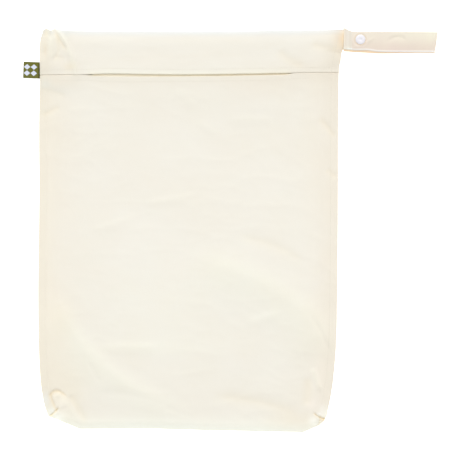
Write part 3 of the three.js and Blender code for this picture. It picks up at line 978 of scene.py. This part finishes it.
LAP_ROWS = 14  # rows of the front's end, where it runs under the flap
CORNER_PATCHES = (  # shares of the front, where the last two split the faces once more
    ((0.0, 0.0), (0.16, 0.13)),
    ((0.85, 0.0), (1.0, 0.12)),
    ((0.0, 0.0), (0.09, 0.055)),
    ((0.90, 0.0), (1.0, 0.055)),
)
HEM_INSET = 1.3  # the cloth turned under a hem ends this far inside the side seams
HEM_LIP = 0.3  # and turns over by this share of a seam's lip
FRONT_ALLOWANCE = (0.024, 0.026)  # metres that the front's cut has for its seams, hem and folds


class BAG_OT_front_cloth(bpy.types.Operator):
    """Front panel from the boxed bottom up to its turned hem at the mouth"""

    bl_idname = "pail_bag.front_cloth"
    bl_label = "Front cloth"

    def execute(self, context):
        sizes = context.scene.bag_sizes
        colours = context.scene.bag_colours
        columns = sizes.front_columns
        rows = LIP_STEPS + sizes.front_rows + LAP_ROWS + HEM_TURN_ROWS + HEM_BACK_ROWS
        radius = sizes.hem_radius / MM

        def place(u, v):
            across, left_lip, right_lip = lip_steps(u, columns)
            row = v * rows - LIP_STEPS
            bottom_lip = np.clip(-row, 0, LIP_STEPS)
            up = np.clip(row / sizes.front_rows, 0, 1)
            lap, turn, under = hem_rows(row - sizes.front_rows, LAP_ROWS, sizes)
            station = lerp(CORNER_Y, MOUTH_Y, up)
            turned = (1 - np.cos(turn)) / 2
            x = between_seams(station, HEM_INSET * turned, across)
            lower = mouth_lower(x)
            gape = mouth_upper(x) - lower
            lapped = (gape + LAP) * smoothstep(gape, *LAP_GAPES)
            end = lower + lapped - radius
            y = lerp(lerp(bottom_edge(x), lower - LAP_START, up), end, lap) - under
            dip = DIP * smoothstep(y, lower - DIP_REACH, lower)
            step = STEP * smoothstep(y, lower - STEP_HALF, lower + STEP_HALF)
            side_over = lip_fall(y, left_lip, right_lip, sizes) * lerp(1.0, HEM_LIP, turned)
            steps, out_x, out_y = round_corner(right_lip - left_lip, bottom_lip)
            over = np.where(bottom_lip > 0, lip_over(steps), side_over)
            face = flat_height(x, y, sizes) + cloth_relief(x, y)
            z = face - (dip + step) * smoothstep(gape, *LIFT_GAPES) - over
            points = (
                x + lip_out(steps) * out_x,
                y + radius * np.sin(turn) + lip_out(steps) * out_y,
                z - radius * (1 - np.cos(turn)),
            )
            return points, cloth_painted_shading(x, y, folds_on(FOLDS, x, y))

        low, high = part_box("front_panel")
        cut = (high.x - low.x + FRONT_ALLOWANCE[0], high.y - low.y + FRONT_ALLOWANCE[1])
        front = cloth_object("front_cloth", columns, rows, cut, place, CORNER_PATCHES)
        thicken(front, sizes.cloth, -1)
        settle(front, bag_cotton(colours), "bag_cloth", "front_panel")
        return {"FINISHED"}


BACK_ROWS = 64  # up the back
BACK_CROWDING = 0.11  # which crowd towards its two ends
TURN_ROWS = 6  # round the back half of the top fold
DOME_ROWS = 22  # over its front half
FLAP_ROWS = 26  # down the flap to its hem
EDGE_PASSES = 8  # each brings the side edges nearer to the heights they are given for
EAR_PATCH = (((0.84, 0.53), (1.0, 0.935)),)  # shares of the back panel
BACK_ALLOWANCE = (0.012, 0.085)  # metres that the back's cut has for its seams, and for its flap and hem


class BAG_OT_back_cloth(bpy.types.Operator):
    """Back panel, turned over at the top and brought down the front as a hemmed flap"""

    bl_idname = "pail_bag.back_cloth"
    bl_label = "Back cloth"

    def execute(self, context):
        sizes = context.scene.bag_sizes
        colours = context.scene.bag_colours
        columns = sizes.front_columns
        rows = LIP_STEPS + BACK_ROWS + TURN_ROWS + DOME_ROWS + FLAP_ROWS + HEM_TURN_ROWS + HEM_BACK_ROWS
        radius = sizes.hem_radius / MM

        def place(u, v):
            across, right_lip, left_lip = lip_steps(u, columns)
            row = v * rows - LIP_STEPS
            bottom_lip = np.clip(-row, 0, LIP_STEPS)
            up_back = crowded(np.clip(row / BACK_ROWS, 0, 1), BACK_CROWDING)
            quarters = np.clip((row - BACK_ROWS) / TURN_ROWS, 0, 1)
            quarters = quarters + np.clip((row - BACK_ROWS - TURN_ROWS) / DOME_ROWS, 0, 1)
            round_top = np.pi / 2 * quarters
            flap_row = np.maximum(row - BACK_ROWS - TURN_ROWS - DOME_ROWS, 0)
            down, turn, under = hem_rows(flap_row, FLAP_ROWS, sizes)
            on_front = quarters > 1
            station = np.where(
                on_front,
                lerp(TOP_Y - DOME * (1 - np.sin(round_top)), MOUTH_Y, down),
                lerp(CORNER_Y, TOP_Y, up_back),
            )
            turned = (1 - np.cos(turn)) / 2
            for _ in range(EDGE_PASSES):
                x = between_seams(station, HEM_INSET * turned, 1 - across)
                crown = top_edge(x)
                half = flat_height(x, np.full_like(x, TOP_LINE), sizes) / 2
                hem = mouth_upper(x) + radius
                domed = crown - DOME * (1 - np.sin(round_top))
                front_y = np.where(flap_row > 0, lerp(crown - DOME, hem, down) + under, domed)
                back_y = lerp(bottom_edge(x), crown - half, up_back) + half * np.sin(round_top)
                station = np.clip(np.where(on_front, front_y, back_y), CORNER_Y, TOP_Y)
            gape = mouth_upper(x) - mouth_lower(x)
            lip = LIP_RISE * smoothstep(gape, *LIFT_GAPES) * smoothstep(-front_y, -hem - DIP_REACH, -hem)
            dome = half - (flat_height(x, front_y, sizes) - half) * np.cos(round_top)
            folds = cloth_relief(x, front_y) * soft_edge((crown - front_y) / CROWN_FADE)
            front_z = dome + folds + lip - radius * (1 - np.cos(turn))
            back_z = half * (1 - np.cos(round_top))
            side_over = lip_fall(np.where(on_front, front_y, CORNER_Y), left_lip, right_lip, sizes)
            side_over = side_over * lerp(1.0, HEM_LIP, turned)
            steps, out_x, out_y = round_corner(right_lip - left_lip, bottom_lip)
            over = np.where(bottom_lip > 0, lip_over(steps), side_over * np.cos(round_top))
            out = lerp(LIP_FLAT * steps / LIP_STEPS, lip_out(steps), np.abs(np.cos(round_top)))
            y = np.where(on_front, front_y - radius * np.sin(turn), back_y) + out * out_y
            z = np.where(on_front, front_z, back_z) + over
            relief = np.where(on_front, folds_on(FOLDS, x, front_y), 0.0)
            tint = cloth_painted_shading(x, np.where(on_front, front_y, back_y), relief)
            return (x + out * out_x, y, z), tint

        low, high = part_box("back_panel")
        cut = (high.x - low.x + BACK_ALLOWANCE[0], high.y - low.y + BACK_ALLOWANCE[1])
        back = cloth_object("back_cloth", columns, rows, cut, place, EAR_PATCH)
        thicken(back, sizes.cloth, -1)
        settle(back, bag_cotton(colours), "bag_cloth", "back_panel")
        return {"FINISHED"}


def bag_cotton(colours):
    """The panels' cotton, made once."""
    name = "cream_cotton"
    made = bpy.data.materials.get(name)
    return made or woven_cotton(name, colours.cloth, colours.cloth_worn, roughness=0.86)


strap_lower = {column: smooth_curve(STRAP_LOWER, "x", column) for column in ("z", "low", "high")}
strap_upper = {column: smooth_curve(STRAP_UPPER, "x", column) for column in ("z", "low", "high", "ledge")}
STRAP_FOLD_X = STRAP_LOWER[-1]["x"]
STRAP_END_X = STRAP_UPPER[0]["x"]
STRAP_FOLD_RADIUS = (STRAP_UPPER[-1]["z"] - STRAP_LOWER[-1]["z"]) / 2
STRAP_COLUMNS = 36  # faces across the strap
STRAP_RUN_ROWS = 84  # along each of its two runs
STRAP_FOLD_ROWS = 16  # and round its fold
STRAP_CROWDING = 1.4  # the columns crowd towards the lower edge by this power
STRAP_ROUND = 0.4  # its edges are rounded by this share of its wall
SKEW_FROM = 18.0  # the fold's skew comes in from this far beyond the snap
FOLD_TURN = (0.15 * math.pi, 0.85 * math.pi)  # the upper run's looks come in between these turns of the fold
SAG = 0.9  # the upper run waves by this much
SAG_X = (226.0, 244.0)  # which comes in between these two places along it
SAG_SPAN = 10.0  # length of one radian of the wave
SAG_LEAN = 1.6  # and its angle from one edge to the other
HEM_RISE = 0.9  # the hem is thicker by this much
HEM_RAMP = 0.8  # over this length
LEDGE_DROP = 0.7  # the under ply lies this much lower than the strap's upper face
LEDGE_STEP = (-0.5, 0.2)  # between these distances from the upper ply's edge
LEDGE_WIDTHS = (0.2, 1.0)  # and comes in between these widths
ROLL_AT = 0.9  # the upper ply's edge is rolled, at this distance from it
ROLL_WIDTH = 0.9  # with this half width
ROLL_RISE = 0.3  # and this height
STITCH_ROWS = (2.9, 8.2)  # the hem's stitches run at these distances from the strap's end
STITCH_DENT = 0.25  # in grooves of this depth
STITCH_WIDTH = 0.8  # and this half width
STRAP_PUFF = 0.6  # the cloth swells round the snap by this much
PUFF_AT = 9.0  # at this distance from the snap's middle
PUFF_WIDTH = 4.0  # with this half width

# Painted light and shade on the strap's upper run, in the order that they are laid on it: painted golden
# shade on the ledge, painted shade on the lower half, painted light on the upper and far halves, painted
# highlights on the rolled edge and the hem, painted shade along the stitches, painted golden light at the
# end, a painted shadow ring round the snap and a painted highlight on the puff beside it
STRAP_PAINTED_SHADING = table(
    "tone tint",
    ("ledge", (1.02, 0.87, 0.71)),
    ("lower half", (0.955, 0.918, 0.928)),
    ("upper half", (1.01, 1.025, 1.03)),
    ("far half", (1.04, 1.065, 1.045)),
    ("rolled edge", (1.13, 1.25, 1.40)),
    ("hem", (1.0, 1.045, 1.075)),
    ("stitches", (0.965, 0.94, 0.92)),
    ("end", (1.06, 1.02, 0.94)),
    ("snap ring", (0.96, 0.915, 0.85)),
    ("snap puff", (1.06, 1.055, 1.085)),
)
LOWER_HALF = (0.1, 0.7)  # shares across, from the lower edge, between which the lower half's tint fades
UPPER_HALF = (0.5, 1.0)  # and the upper half's comes in
FAR_HALF = (0.3, 0.9)  # and the far half's
FAR_X = (245.0, 285.0)  # which also comes in between these two places along the strap
ROLL_X = (-3.0, 10.0)  # the rolled edge's tint comes in between these places past the strap's end
END_HALF = (0.3, 0.6)  # the end's tint comes in between these shares across
END_WIDTH = 1.6  # and fades over this length
# The snap ring's tint is a painted shadow; the puff's is a painted highlight
RING_AT = 7.0  # the ring's tint lies at this distance from the snap's middle
RING_WIDTH = 1.1  # with this half width
PALE_WIDTH = 1.2  # the puff's tint has this half width
PALE_HALF = (0.4, 0.6)  # and between these shares across
PALE_SHARE = 0.4  # it falls to this share


class BAG_OT_strap(bpy.types.Operator):
    """Strap sewn into the side seam, folded into a loop and brought back to its hemmed end at the snap"""

    bl_idname = "pail_bag.strap"
    bl_label = "Strap"

    def execute(self, context):
        sizes = context.scene.bag_sizes
        colours = context.scene.bag_colours
        rows = 2 * STRAP_RUN_ROWS + STRAP_FOLD_ROWS
        hem_start = STRAP_END_X + sizes.strap_hem / MM

        def place(u, v):
            row = v * rows
            out = np.clip(row / STRAP_RUN_ROWS, 0, 1)
            turn = np.pi * np.clip((row - STRAP_RUN_ROWS) / STRAP_FOLD_ROWS, 0, 1)
            back = np.clip((row - STRAP_RUN_ROWS - STRAP_FOLD_ROWS) / STRAP_RUN_ROWS, 0, 1)
            on_upper = back > 0
            along = np.where(
                on_upper,
                lerp(STRAP_FOLD_X, STRAP_END_X, back),
                lerp(STRAP_LOWER[0]["x"], STRAP_FOLD_X, out),
            )
            across = (1 - u) ** STRAP_CROWDING
            pick = {
                column: np.where(on_upper, strap_upper[column](along), strap_lower[column](along))
                for column in ("z", "low", "high")
            }
            skew = STRAP_SKEW * (1 - across) * smoothstep(along, SNAP_AT[0] + SKEW_FROM, STRAP_FOLD_X)
            x = along + STRAP_FOLD_RADIUS * np.sin(turn) - skew
            y = lerp(pick["low"], pick["high"], across)
            z = pick["z"] + np.where(on_upper, 0.0, STRAP_FOLD_RADIUS * (1 - np.cos(turn)))
            from_snap = np.hypot(x - SNAP_AT[0], y - SNAP_AT[1])
            puff = STRAP_PUFF * bell(from_snap - PUFF_AT, PUFF_WIDTH)
            pale = bell(from_snap - PUFF_AT, PALE_WIDTH)
            sag = SAG * np.sin((along - SAG_X[0]) / SAG_SPAN + SAG_LEAN * across) * smoothstep(along, *SAG_X)
            hem = np.where(on_upper, smoothstep(-along, -hem_start, -hem_start + HEM_RAMP), 0.0)
            upper = np.where(on_upper, 1.0, smoothstep(turn, *FOLD_TURN))
            ledge = strap_upper["ledge"](along)
            from_edge = y - pick["low"] - ledge
            on_ledge = upper * (1 - smoothstep(from_edge, *LEDGE_STEP)) * smoothstep(ledge, *LEDGE_WIDTHS)
            rolled = upper * bell(from_edge - ROLL_AT, ROLL_WIDTH)
            from_end = along - STRAP_END_X
            stitched = sum(hem * bell(from_end - distance, STITCH_WIDTH) for distance in STITCH_ROWS)
            # Shares of the painted light and shade on the strap
            shares = {
                "ledge": on_ledge,
                "lower half": upper * (1 - smoothstep(across, *LOWER_HALF)) * (1 - hem) * (1 - on_ledge),
                "upper half": upper * smoothstep(across, *UPPER_HALF) * (1 - hem),
                "far half": upper * smoothstep(across, *FAR_HALF) * smoothstep(along, *FAR_X),
                "rolled edge": rolled * smoothstep(from_end, *ROLL_X),
                "hem": hem * (1 - on_ledge),
                "stitches": stitched,
                "end": upper * smoothstep(across, *END_HALF) * bell(from_end, END_WIDTH),
                "snap ring": upper * bell(from_snap - RING_AT, RING_WIDTH),
                "snap puff": upper * pale * lerp(1.0, PALE_SHARE, smoothstep(across, *PALE_HALF)),
            }
            tint = np.ones((len(x), 4))
            for tone in STRAP_PAINTED_SHADING:
                tint[:, :3] *= lerp(1.0, np.array(tone["tint"]), shares[tone["tone"]][:, None])
            raised = upper * (puff + sag + folds_on(STRAP_FOLDS, x, y)) + HEM_RISE * hem + ROLL_RISE * rolled
            return (x, y, z + raised - LEDGE_DROP * on_ledge - STITCH_DENT * stitched), tint

        low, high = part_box("strap")
        cut = (STRAP_LOWER[-1]["high"] * MM - STRAP_LOWER[-1]["low"] * MM, 2 * (high.x - low.x))
        strap = cloth_object("strap_cloth", STRAP_COLUMNS, rows, cut, place)
        thicken(strap, sizes.strap_wall, 0)
        rounded = strap.modifiers.new("rolled edges", "BEVEL")
        rounded.width = STRAP_ROUND * sizes.strap_wall
        rounded.segments = 3
        rounded.limit_method = "ANGLE"
        rounded.angle_limit = math.radians(60)
        cotton = woven_cotton("strap_cotton", colours.strap, colours.strap_worn, roughness=0.88, cloud=1.0)
        settle(strap, cotton, "strap_cloth", "strap")
        return {"FINISHED"}


TURNED_SIDES = 56  # round a turned piece


def turned_piece(name, profile, radius, height, at, up):
    """A round piece spun from a table of shares, standing on a point and facing up or down."""
    bm = bmesh.new()
    points = [bm.verts.new((row["radius"] * radius, 0.0, row["height"] * height * up)) for row in profile]
    edges = [bm.edges.new(pair) for pair in zip(points, points[1:])]
    bmesh.ops.spin(
        bm, geom=points + edges, cent=(0, 0, 0), axis=(0, 0, 1), angle=math.tau, steps=TURNED_SIDES,
        use_merge=True, use_duplicate=False)
    bmesh.ops.remove_doubles(bm, verts=bm.verts, dist=1e-6)
    bmesh.ops.recalc_face_normals(bm, faces=bm.faces)
    bmesh.ops.translate(bm, verts=bm.verts, vec=at)
    return new_object(name, bm)


class BAG_OT_snap(bpy.types.Operator):
    """Plastic snap that holds the strap's loop shut: two caps and the clasp between the strap's runs"""

    bl_idname = "pail_bag.snap"
    bl_label = "Snap"

    def execute(self, context):
        sizes = context.scene.bag_sizes
        plastic = moulded_plastic("white_plastic", context.scene.bag_colours.snap)
        cap_low, cap_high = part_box("snap_cap")
        back_low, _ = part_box("snap_back_cap")
        clasp_low, clasp_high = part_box("snap_clasp")
        centre = (cap_low + cap_high) / 2
        caps = (
            dict(name="snap_cap_top", node="snap_cap", z=cap_high.z - sizes.snap_height, up=1),
            dict(name="snap_cap_under", node="snap_back_cap", z=back_low.z + sizes.snap_height, up=-1),
        )
        for cap in caps:
            at = (centre.x, centre.y, cap["z"])
            piece = turned_piece(
                cap["name"], CAP_PROFILE, sizes.snap_radius, sizes.snap_height, at, cap["up"])
            settle(piece, plastic, "snap_plastic", cap["node"])
        at = (centre.x, centre.y, clasp_low.z)
        height = clasp_high.z - clasp_low.z
        clasp = turned_piece("snap_clasp_shut", CLASP_PROFILE, sizes.clasp_radius, height, at, 1)
        settle(clasp, plastic, "snap_plastic", "snap_clasp")
        return {"FINISHED"}


LABEL_COLUMNS = 24  # faces across the label
LABEL_RUN_ROWS = 26  # along each of its two plies
LABEL_FOLD_ROWS = 12  # and round its fold
LABEL_PINCH = 0.22  # the label's two plies draw together by this much
LABEL_CURL = 0.5  # and its fold lifts by this much
RIB_PITCH = 0.5 * MM  # from one cross rib of the ribbon to the next
YARN_PITCH = 0.34 * MM  # from one of its yarns to the next
RIB_RELIEF = 0.5  # share of the ribs in its relief
YARN_RELIEF = 0.25  # and of the yarns
RIB_RANGE = dict(start=-0.6, end=1.6)  # from the deepest weave to the highest rib
PALE_FOLD = dict(start=1.5 * MM, end=2.1 * MM)  # the fold's pale yarn fades between these distances from it
# The seam's shade is painted shade, darker towards the seam
SEAM_PAINTED_SHADE = dict(start=0.6 * MM, end=2.2 * MM)  # and the seam's shade between these from the seam
LOZENGE_EDGE = dict(start=3.3 * MM, end=3.6 * MM)  # a lozenge fades between these from its middle
LOZENGE_ACROSS = (0.31, 0.69)  # shares of the width
LOZENGE_OUT = (8.2 * MM, 15.4 * MM)  # distances from the fold
# The deepest weave's darker tone is painted shade in the weave's hollows
RIBBON_DARK = 0.72  # tone of the ribbon's deepest weave and of its worn fold


def woven_ribbon(name, olive, pale, width, length, tuck):
    """Olive ribbon with fine cross ribs, pale yarn at its fold, four small pale lozenges on its face and
    painted seam shade.
    """
    shader = Shader(name)
    cut, across, along = shader.cut()
    ribs = shader.ripple(along, RIB_PITCH)
    yarns = shader.ripple(across, YARN_PITCH)
    shader.bump(shader.blend(ribs, RIB_RELIEF, yarns, YARN_RELIEF), strength=0.4, distance=0.08 * MM)
    from_fold = shader.away(along, length / 2)
    fold = shader.spread(from_fold, 1.0, 0.0, **PALE_FOLD)
    from_seam = shader.away(from_fold, length / 2 - tuck)
    # Painted shade, darker where the ribbon goes into the seam
    shade = shader.spread(from_seam, 0.5, 1.0, **SEAM_PAINTED_SHADE)
    lozenges = 0.0
    for share in LOZENGE_ACROSS:
        for out in LOZENGE_OUT:
            aside = shader.away(across, share * width)
            beyond = shader.away(along, length / 2 + out)
            inside = shader.spread(shader.math("ADD", aside, beyond), 1.0, 0.0, **LOZENGE_EDGE)
            lozenges = shader.math("MAXIMUM", lozenges, inside)
    grain = shader.noise(cut, scale=2600.0)
    # Painted shade in the weave: the ground is darker where the ribs are low, with random grain
    rib_share = shader.spread(shader.math("ADD", ribs, grain), 0.0, 1.0, **RIB_RANGE)
    ground = shader.mix(rib_share, toned(olive, RIBBON_DARK), tuple(olive))
    face = shader.mix(lozenges, ground, tuple(pale))
    folded = shader.mix(fold, face, toned(pale, RIBBON_DARK))
    channels = dict.fromkeys(("Red", "Green", "Blue"), shade)
    painted_seam_shade = shader.add("ShaderNodeCombineColor", channels).outputs["Color"]
    shader.set(
        Base_Color=shader.mix(1.0, folded, painted_seam_shade, "MULTIPLY"),
        Roughness=shader.spread(grain, 0.6, 0.75),
        Specular_IOR_Level=0.3,
        Sheen_Weight=0.1,
    )
    return shader.material


class BAG_OT_label(bpy.types.Operator):
    """Woven ribbon label folded double, with its two ends in the side seam"""

    bl_idname = "pail_bag.label"
    bl_label = "Label"

    def execute(self, context):
        sizes = context.scene.bag_sizes
        colours = context.scene.bag_colours
        low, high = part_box("side_label")
        radius = (high.z - low.z) / MM / 2
        out = sizes.label_out / MM - radius
        tuck = sizes.label_tuck / MM
        width = sizes.label_width / MM
        rows = 2 * LABEL_RUN_ROWS + LABEL_FOLD_ROWS
        seam = (float(side_left(LABEL_Y)), LABEL_Y)

        def place(u, v):
            row = v * rows
            first = np.clip(row / LABEL_RUN_ROWS, 0, 1)
            turn = np.pi * np.clip((row - LABEL_RUN_ROWS) / LABEL_FOLD_ROWS, 0, 1)
            last = np.clip((row - LABEL_RUN_ROWS - LABEL_FOLD_ROWS) / LABEL_RUN_ROWS, 0, 1)
            x = lerp(tuck, -out, first) + (tuck + out) * last - radius * np.sin(turn)
            y = (0.5 - u) * width
            share_out = np.clip(-x / out, 0, 1)
            pinch = LABEL_PINCH * np.sin(np.pi * share_out) * np.where(turn > np.pi / 2, -1, 1)
            z = low.z / MM + radius * (1 - np.cos(turn)) + pinch + LABEL_CURL * share_out ** 2
            slope = sizes.label_slope
            points = (
                seam[0] + x * math.cos(slope) - y * math.sin(slope),
                seam[1] + x * math.sin(slope) + y * math.cos(slope),
                z,
            )
            return points, None

        length = 2 * (tuck + out) + math.pi * radius
        cut = (width * MM, length * MM)
        label = cloth_object("label_ribbon", LABEL_COLUMNS, rows, cut, place)
        thicken(label, sizes.label_ply, -1)
        ribbon = woven_ribbon("olive_ribbon", colours.label, colours.label_pale, *cut, sizes.label_tuck)
        settle(label, ribbon, "label_weave", "side_label")
        return {"FINISHED"}


RAY_TOP = 0.2  # height in metres from which stitches are dropped on the cloth
STITCH_SIDES = 6  # round a stitch and along it
STITCH_PROUD = 0.15  # a stitch's middle lies this share of the thread above the cloth
PATH_POINTS = 60  # along each row of stitches on the panels
SIDE_ENDS = (14.0, 9.0)  # distances of the side rows' ends from the corners and from the top
MOUTH_ENDS = (-176.0, 178.0)  # where the mouth's rows begin and end
MOUTH_INSET = 6.5  # and their distance from its edges
STRAP_POINTS = 8  # along each row on the strap's hem
STRAP_SHARES = (0.14, 0.93)  # between these shares of its width


def surface_of(*names):
    """The outer surfaces of finished pieces, to lay stitches on."""
    graph = bpy.context.evaluated_depsgraph_get()
    return [BVHTree.FromObject(bpy.data.objects[name], graph) for name in names]


def drop(surfaces, x, y):
    """The highest point under a place, and the surface's direction there."""
    hits = [tree.ray_cast(Vector((x, y, RAY_TOP)), Vector((0, 0, -1))) for tree in surfaces]
    found = [hit for hit in hits if hit[0] is not None]
    if not found:
        raise RuntimeError(f"no cloth lies under the stitch at {x:.4f}, {y:.4f}")
    best = max(found, key=lambda hit: hit[0].z)
    return best[0], best[1]


def sew(bm, surfaces, path, sizes):
    """A row of stitches along a path of points, laid on the cloth below it."""
    points = [Vector((x * MM, y * MM, 0.0)) for x, y in path]
    lengths = [(b - a).length for a, b in zip(points, points[1:])]
    total = sum(lengths)
    count = max(1, int(total / sizes.stitch_pitch))
    ends = np.concatenate(([0.0], np.cumsum(lengths)))
    for i in range(count):
        middle = (i + 0.5) * total / count
        pair = []
        for place in (middle - sizes.stitch_length / 2, middle + sizes.stitch_length / 2):
            x = float(np.interp(place, ends, [point.x for point in points]))
            y = float(np.interp(place, ends, [point.y for point in points]))
            pair.append(drop(surfaces, x, y))
        (start, up_start), (end, up_end) = pair
        along = (end - start).normalized()
        up = (up_start + up_end).normalized()
        side = up.cross(along).normalized()
        turn = Matrix((along, side, along.cross(side))).transposed().to_4x4()
        size = Matrix.Diagonal((sizes.stitch_length / 2, sizes.thread / 2, sizes.thread / 2, 1.0))
        centre = (start + end) / 2 + up * sizes.thread * STITCH_PROUD
        matrix = Matrix.Translation(centre) @ turn @ size
        bmesh.ops.create_uvsphere(
            bm, u_segments=STITCH_SIDES, v_segments=STITCH_SIDES, radius=1.0, matrix=matrix)


class BAG_OT_stitching(bpy.types.Operator):
    """Rows of thread: side topstitching, the mouth's hems and the strap's end"""

    bl_idname = "pail_bag.stitching"
    bl_label = "Stitching"

    def execute(self, context):
        sizes = context.scene.bag_sizes
        thread = sewing_thread("cream_thread", context.scene.bag_colours.thread)
        panels = surface_of("front_cloth", "back_cloth")
        strap = surface_of("strap_cloth")
        inset = sizes.topstitch / MM
        heights = np.linspace(CORNER_Y + SIDE_ENDS[0], TOP_Y - SIDE_ENDS[1], PATH_POINTS)
        spots = np.linspace(*MOUTH_ENDS, PATH_POINTS)
        rows = {
            "side_stitches": (panels, [
                [(float(side_left(y)) + inset, y) for y in heights],
                [(float(side_right(y)) - inset, y) for y in heights],
            ]),
            "mouth_stitches": (panels, [
                [(x, float(mouth_upper(x)) + MOUTH_INSET) for x in spots],
                [(x, float(mouth_lower(x)) - MOUTH_INSET) for x in spots],
            ]),
            "strap_stitches": (strap, [
                [(x, float(lerp(strap_upper["low"](x), strap_upper["high"](x), share)))
                 for share in np.linspace(*STRAP_SHARES, STRAP_POINTS)]
                for x in (STRAP_END_X + row for row in STITCH_ROWS)
            ]),
        }
        for name, (surfaces, paths) in rows.items():
            bm = bmesh.new()
            for path in paths:
                sew(bm, surfaces, path, sizes)
            settle(new_object(name, bm), thread, "bag_cloth")
        return {"FINISHED"}


FLOOR_HALF = 4.0  # half the floor's width in metres
FLOOR_DROP = 0.2 * MM  # it lies this far below the bag
SENSOR = 36.0  # width of the camera's sensor in millimetres


class BAG_OT_stage(bpy.types.Operator):
    """White floor, soft light from beyond the top and below the bottom, and the camera straight above"""

    bl_idname = "pail_bag.stage"
    bl_label = "Stage"

    def execute(self, context):
        scene = context.scene
        stage = scene.bag_stage
        low, high = CAD_BOX
        middle = (low + high) / 2
        bm = bmesh.new()
        bmesh.ops.create_grid(bm, x_segments=4, y_segments=4, size=FLOOR_HALF)
        bmesh.ops.translate(bm, verts=bm.verts, vec=(middle.x, middle.y, -FLOOR_DROP))
        floor = new_object("floor", bm)
        floor.data.materials.append(white_floor("white_board", scene.bag_colours.floor, stage.glow))

        lights = table(
            "name way soft strength",
            ("key_light", (-0.05, 1.0, 1.0), 50.0, stage.key),
            ("fill_light", (-0.1, -1.0, 0.5), 60.0, stage.fill),
        )
        for row in lights:
            light = bpy.data.lights.new(row["name"], "SUN")
            light.energy = row["strength"]
            light.angle = math.radians(row["soft"])
            lamp = bpy.data.objects.new(row["name"], light)
            way = Vector(row["way"]).normalized()
            lamp.location = middle + way
            lamp.rotation_euler = way.to_track_quat("Z", "Y").to_euler()
            scene.collection.objects.link(lamp)

        world = bpy.data.worlds.new("white_room")
        world.use_nodes = True
        background = world.node_tree.nodes["Background"]
        background.inputs["Color"].default_value = (1.0, 1.0, 1.0, 1.0)
        background.inputs["Strength"].default_value = stage.world
        scene.world = world
        scene.view_settings.view_transform = "Standard"
        scene.view_settings.look = "None"

        camera = bpy.data.cameras.new("camera")
        camera.lens = stage.lens
        camera.sensor_width = SENSOR
        eye = bpy.data.objects.new("camera", camera)
        eye.location = (*stage.aim, stage.view_width * stage.lens / SENSOR)
        scene.collection.objects.link(eye)
        scene.camera = eye
        return {"FINISHED"}


OPERATORS = (
    BAG_OT_stage,
    BAG_OT_back_cloth,
    BAG_OT_front_cloth,
    BAG_OT_strap,
    BAG_OT_snap,
    BAG_OT_label,
    BAG_OT_stitching,
)


class BAG_PT_panel(bpy.types.Panel):
    """The bag's sizes, colours and pieces"""

    bl_idname = "BAG_PT_panel"
    bl_label = "Pail Bag"
    bl_space_type = "VIEW_3D"
    bl_region_type = "UI"
    bl_category = "Pail Bag"

    def draw(self, context):
        layout = self.layout
        scene = context.scene
        for group in (scene.bag_sizes, scene.bag_colours, scene.bag_stage):
            box = layout.box()
            for name in group.__annotations__:
                box.prop(group, name)
        for operator in OPERATORS:
            layout.operator(operator.bl_idname)


CLASSES = (BagSizes, BagColours, BagStage, *OPERATORS, BAG_PT_panel)


def register():
    for cls in CLASSES:
        bpy.utils.register_class(cls)
    bpy.types.Scene.bag_sizes = PointerProperty(type=BagSizes)
    bpy.types.Scene.bag_colours = PointerProperty(type=BagColours)
    bpy.types.Scene.bag_stage = PointerProperty(type=BagStage)


def unregister():
    del bpy.types.Scene.bag_stage
    del bpy.types.Scene.bag_colours
    del bpy.types.Scene.bag_sizes
    for cls in reversed(CLASSES):
        bpy.utils.unregister_class(cls)


def main():
    register()
    for operator in OPERATORS:
        group, name = operator.bl_idname.split(".")
        getattr(getattr(bpy.ops, group), name)()


if __name__ == "__main__":
    main()
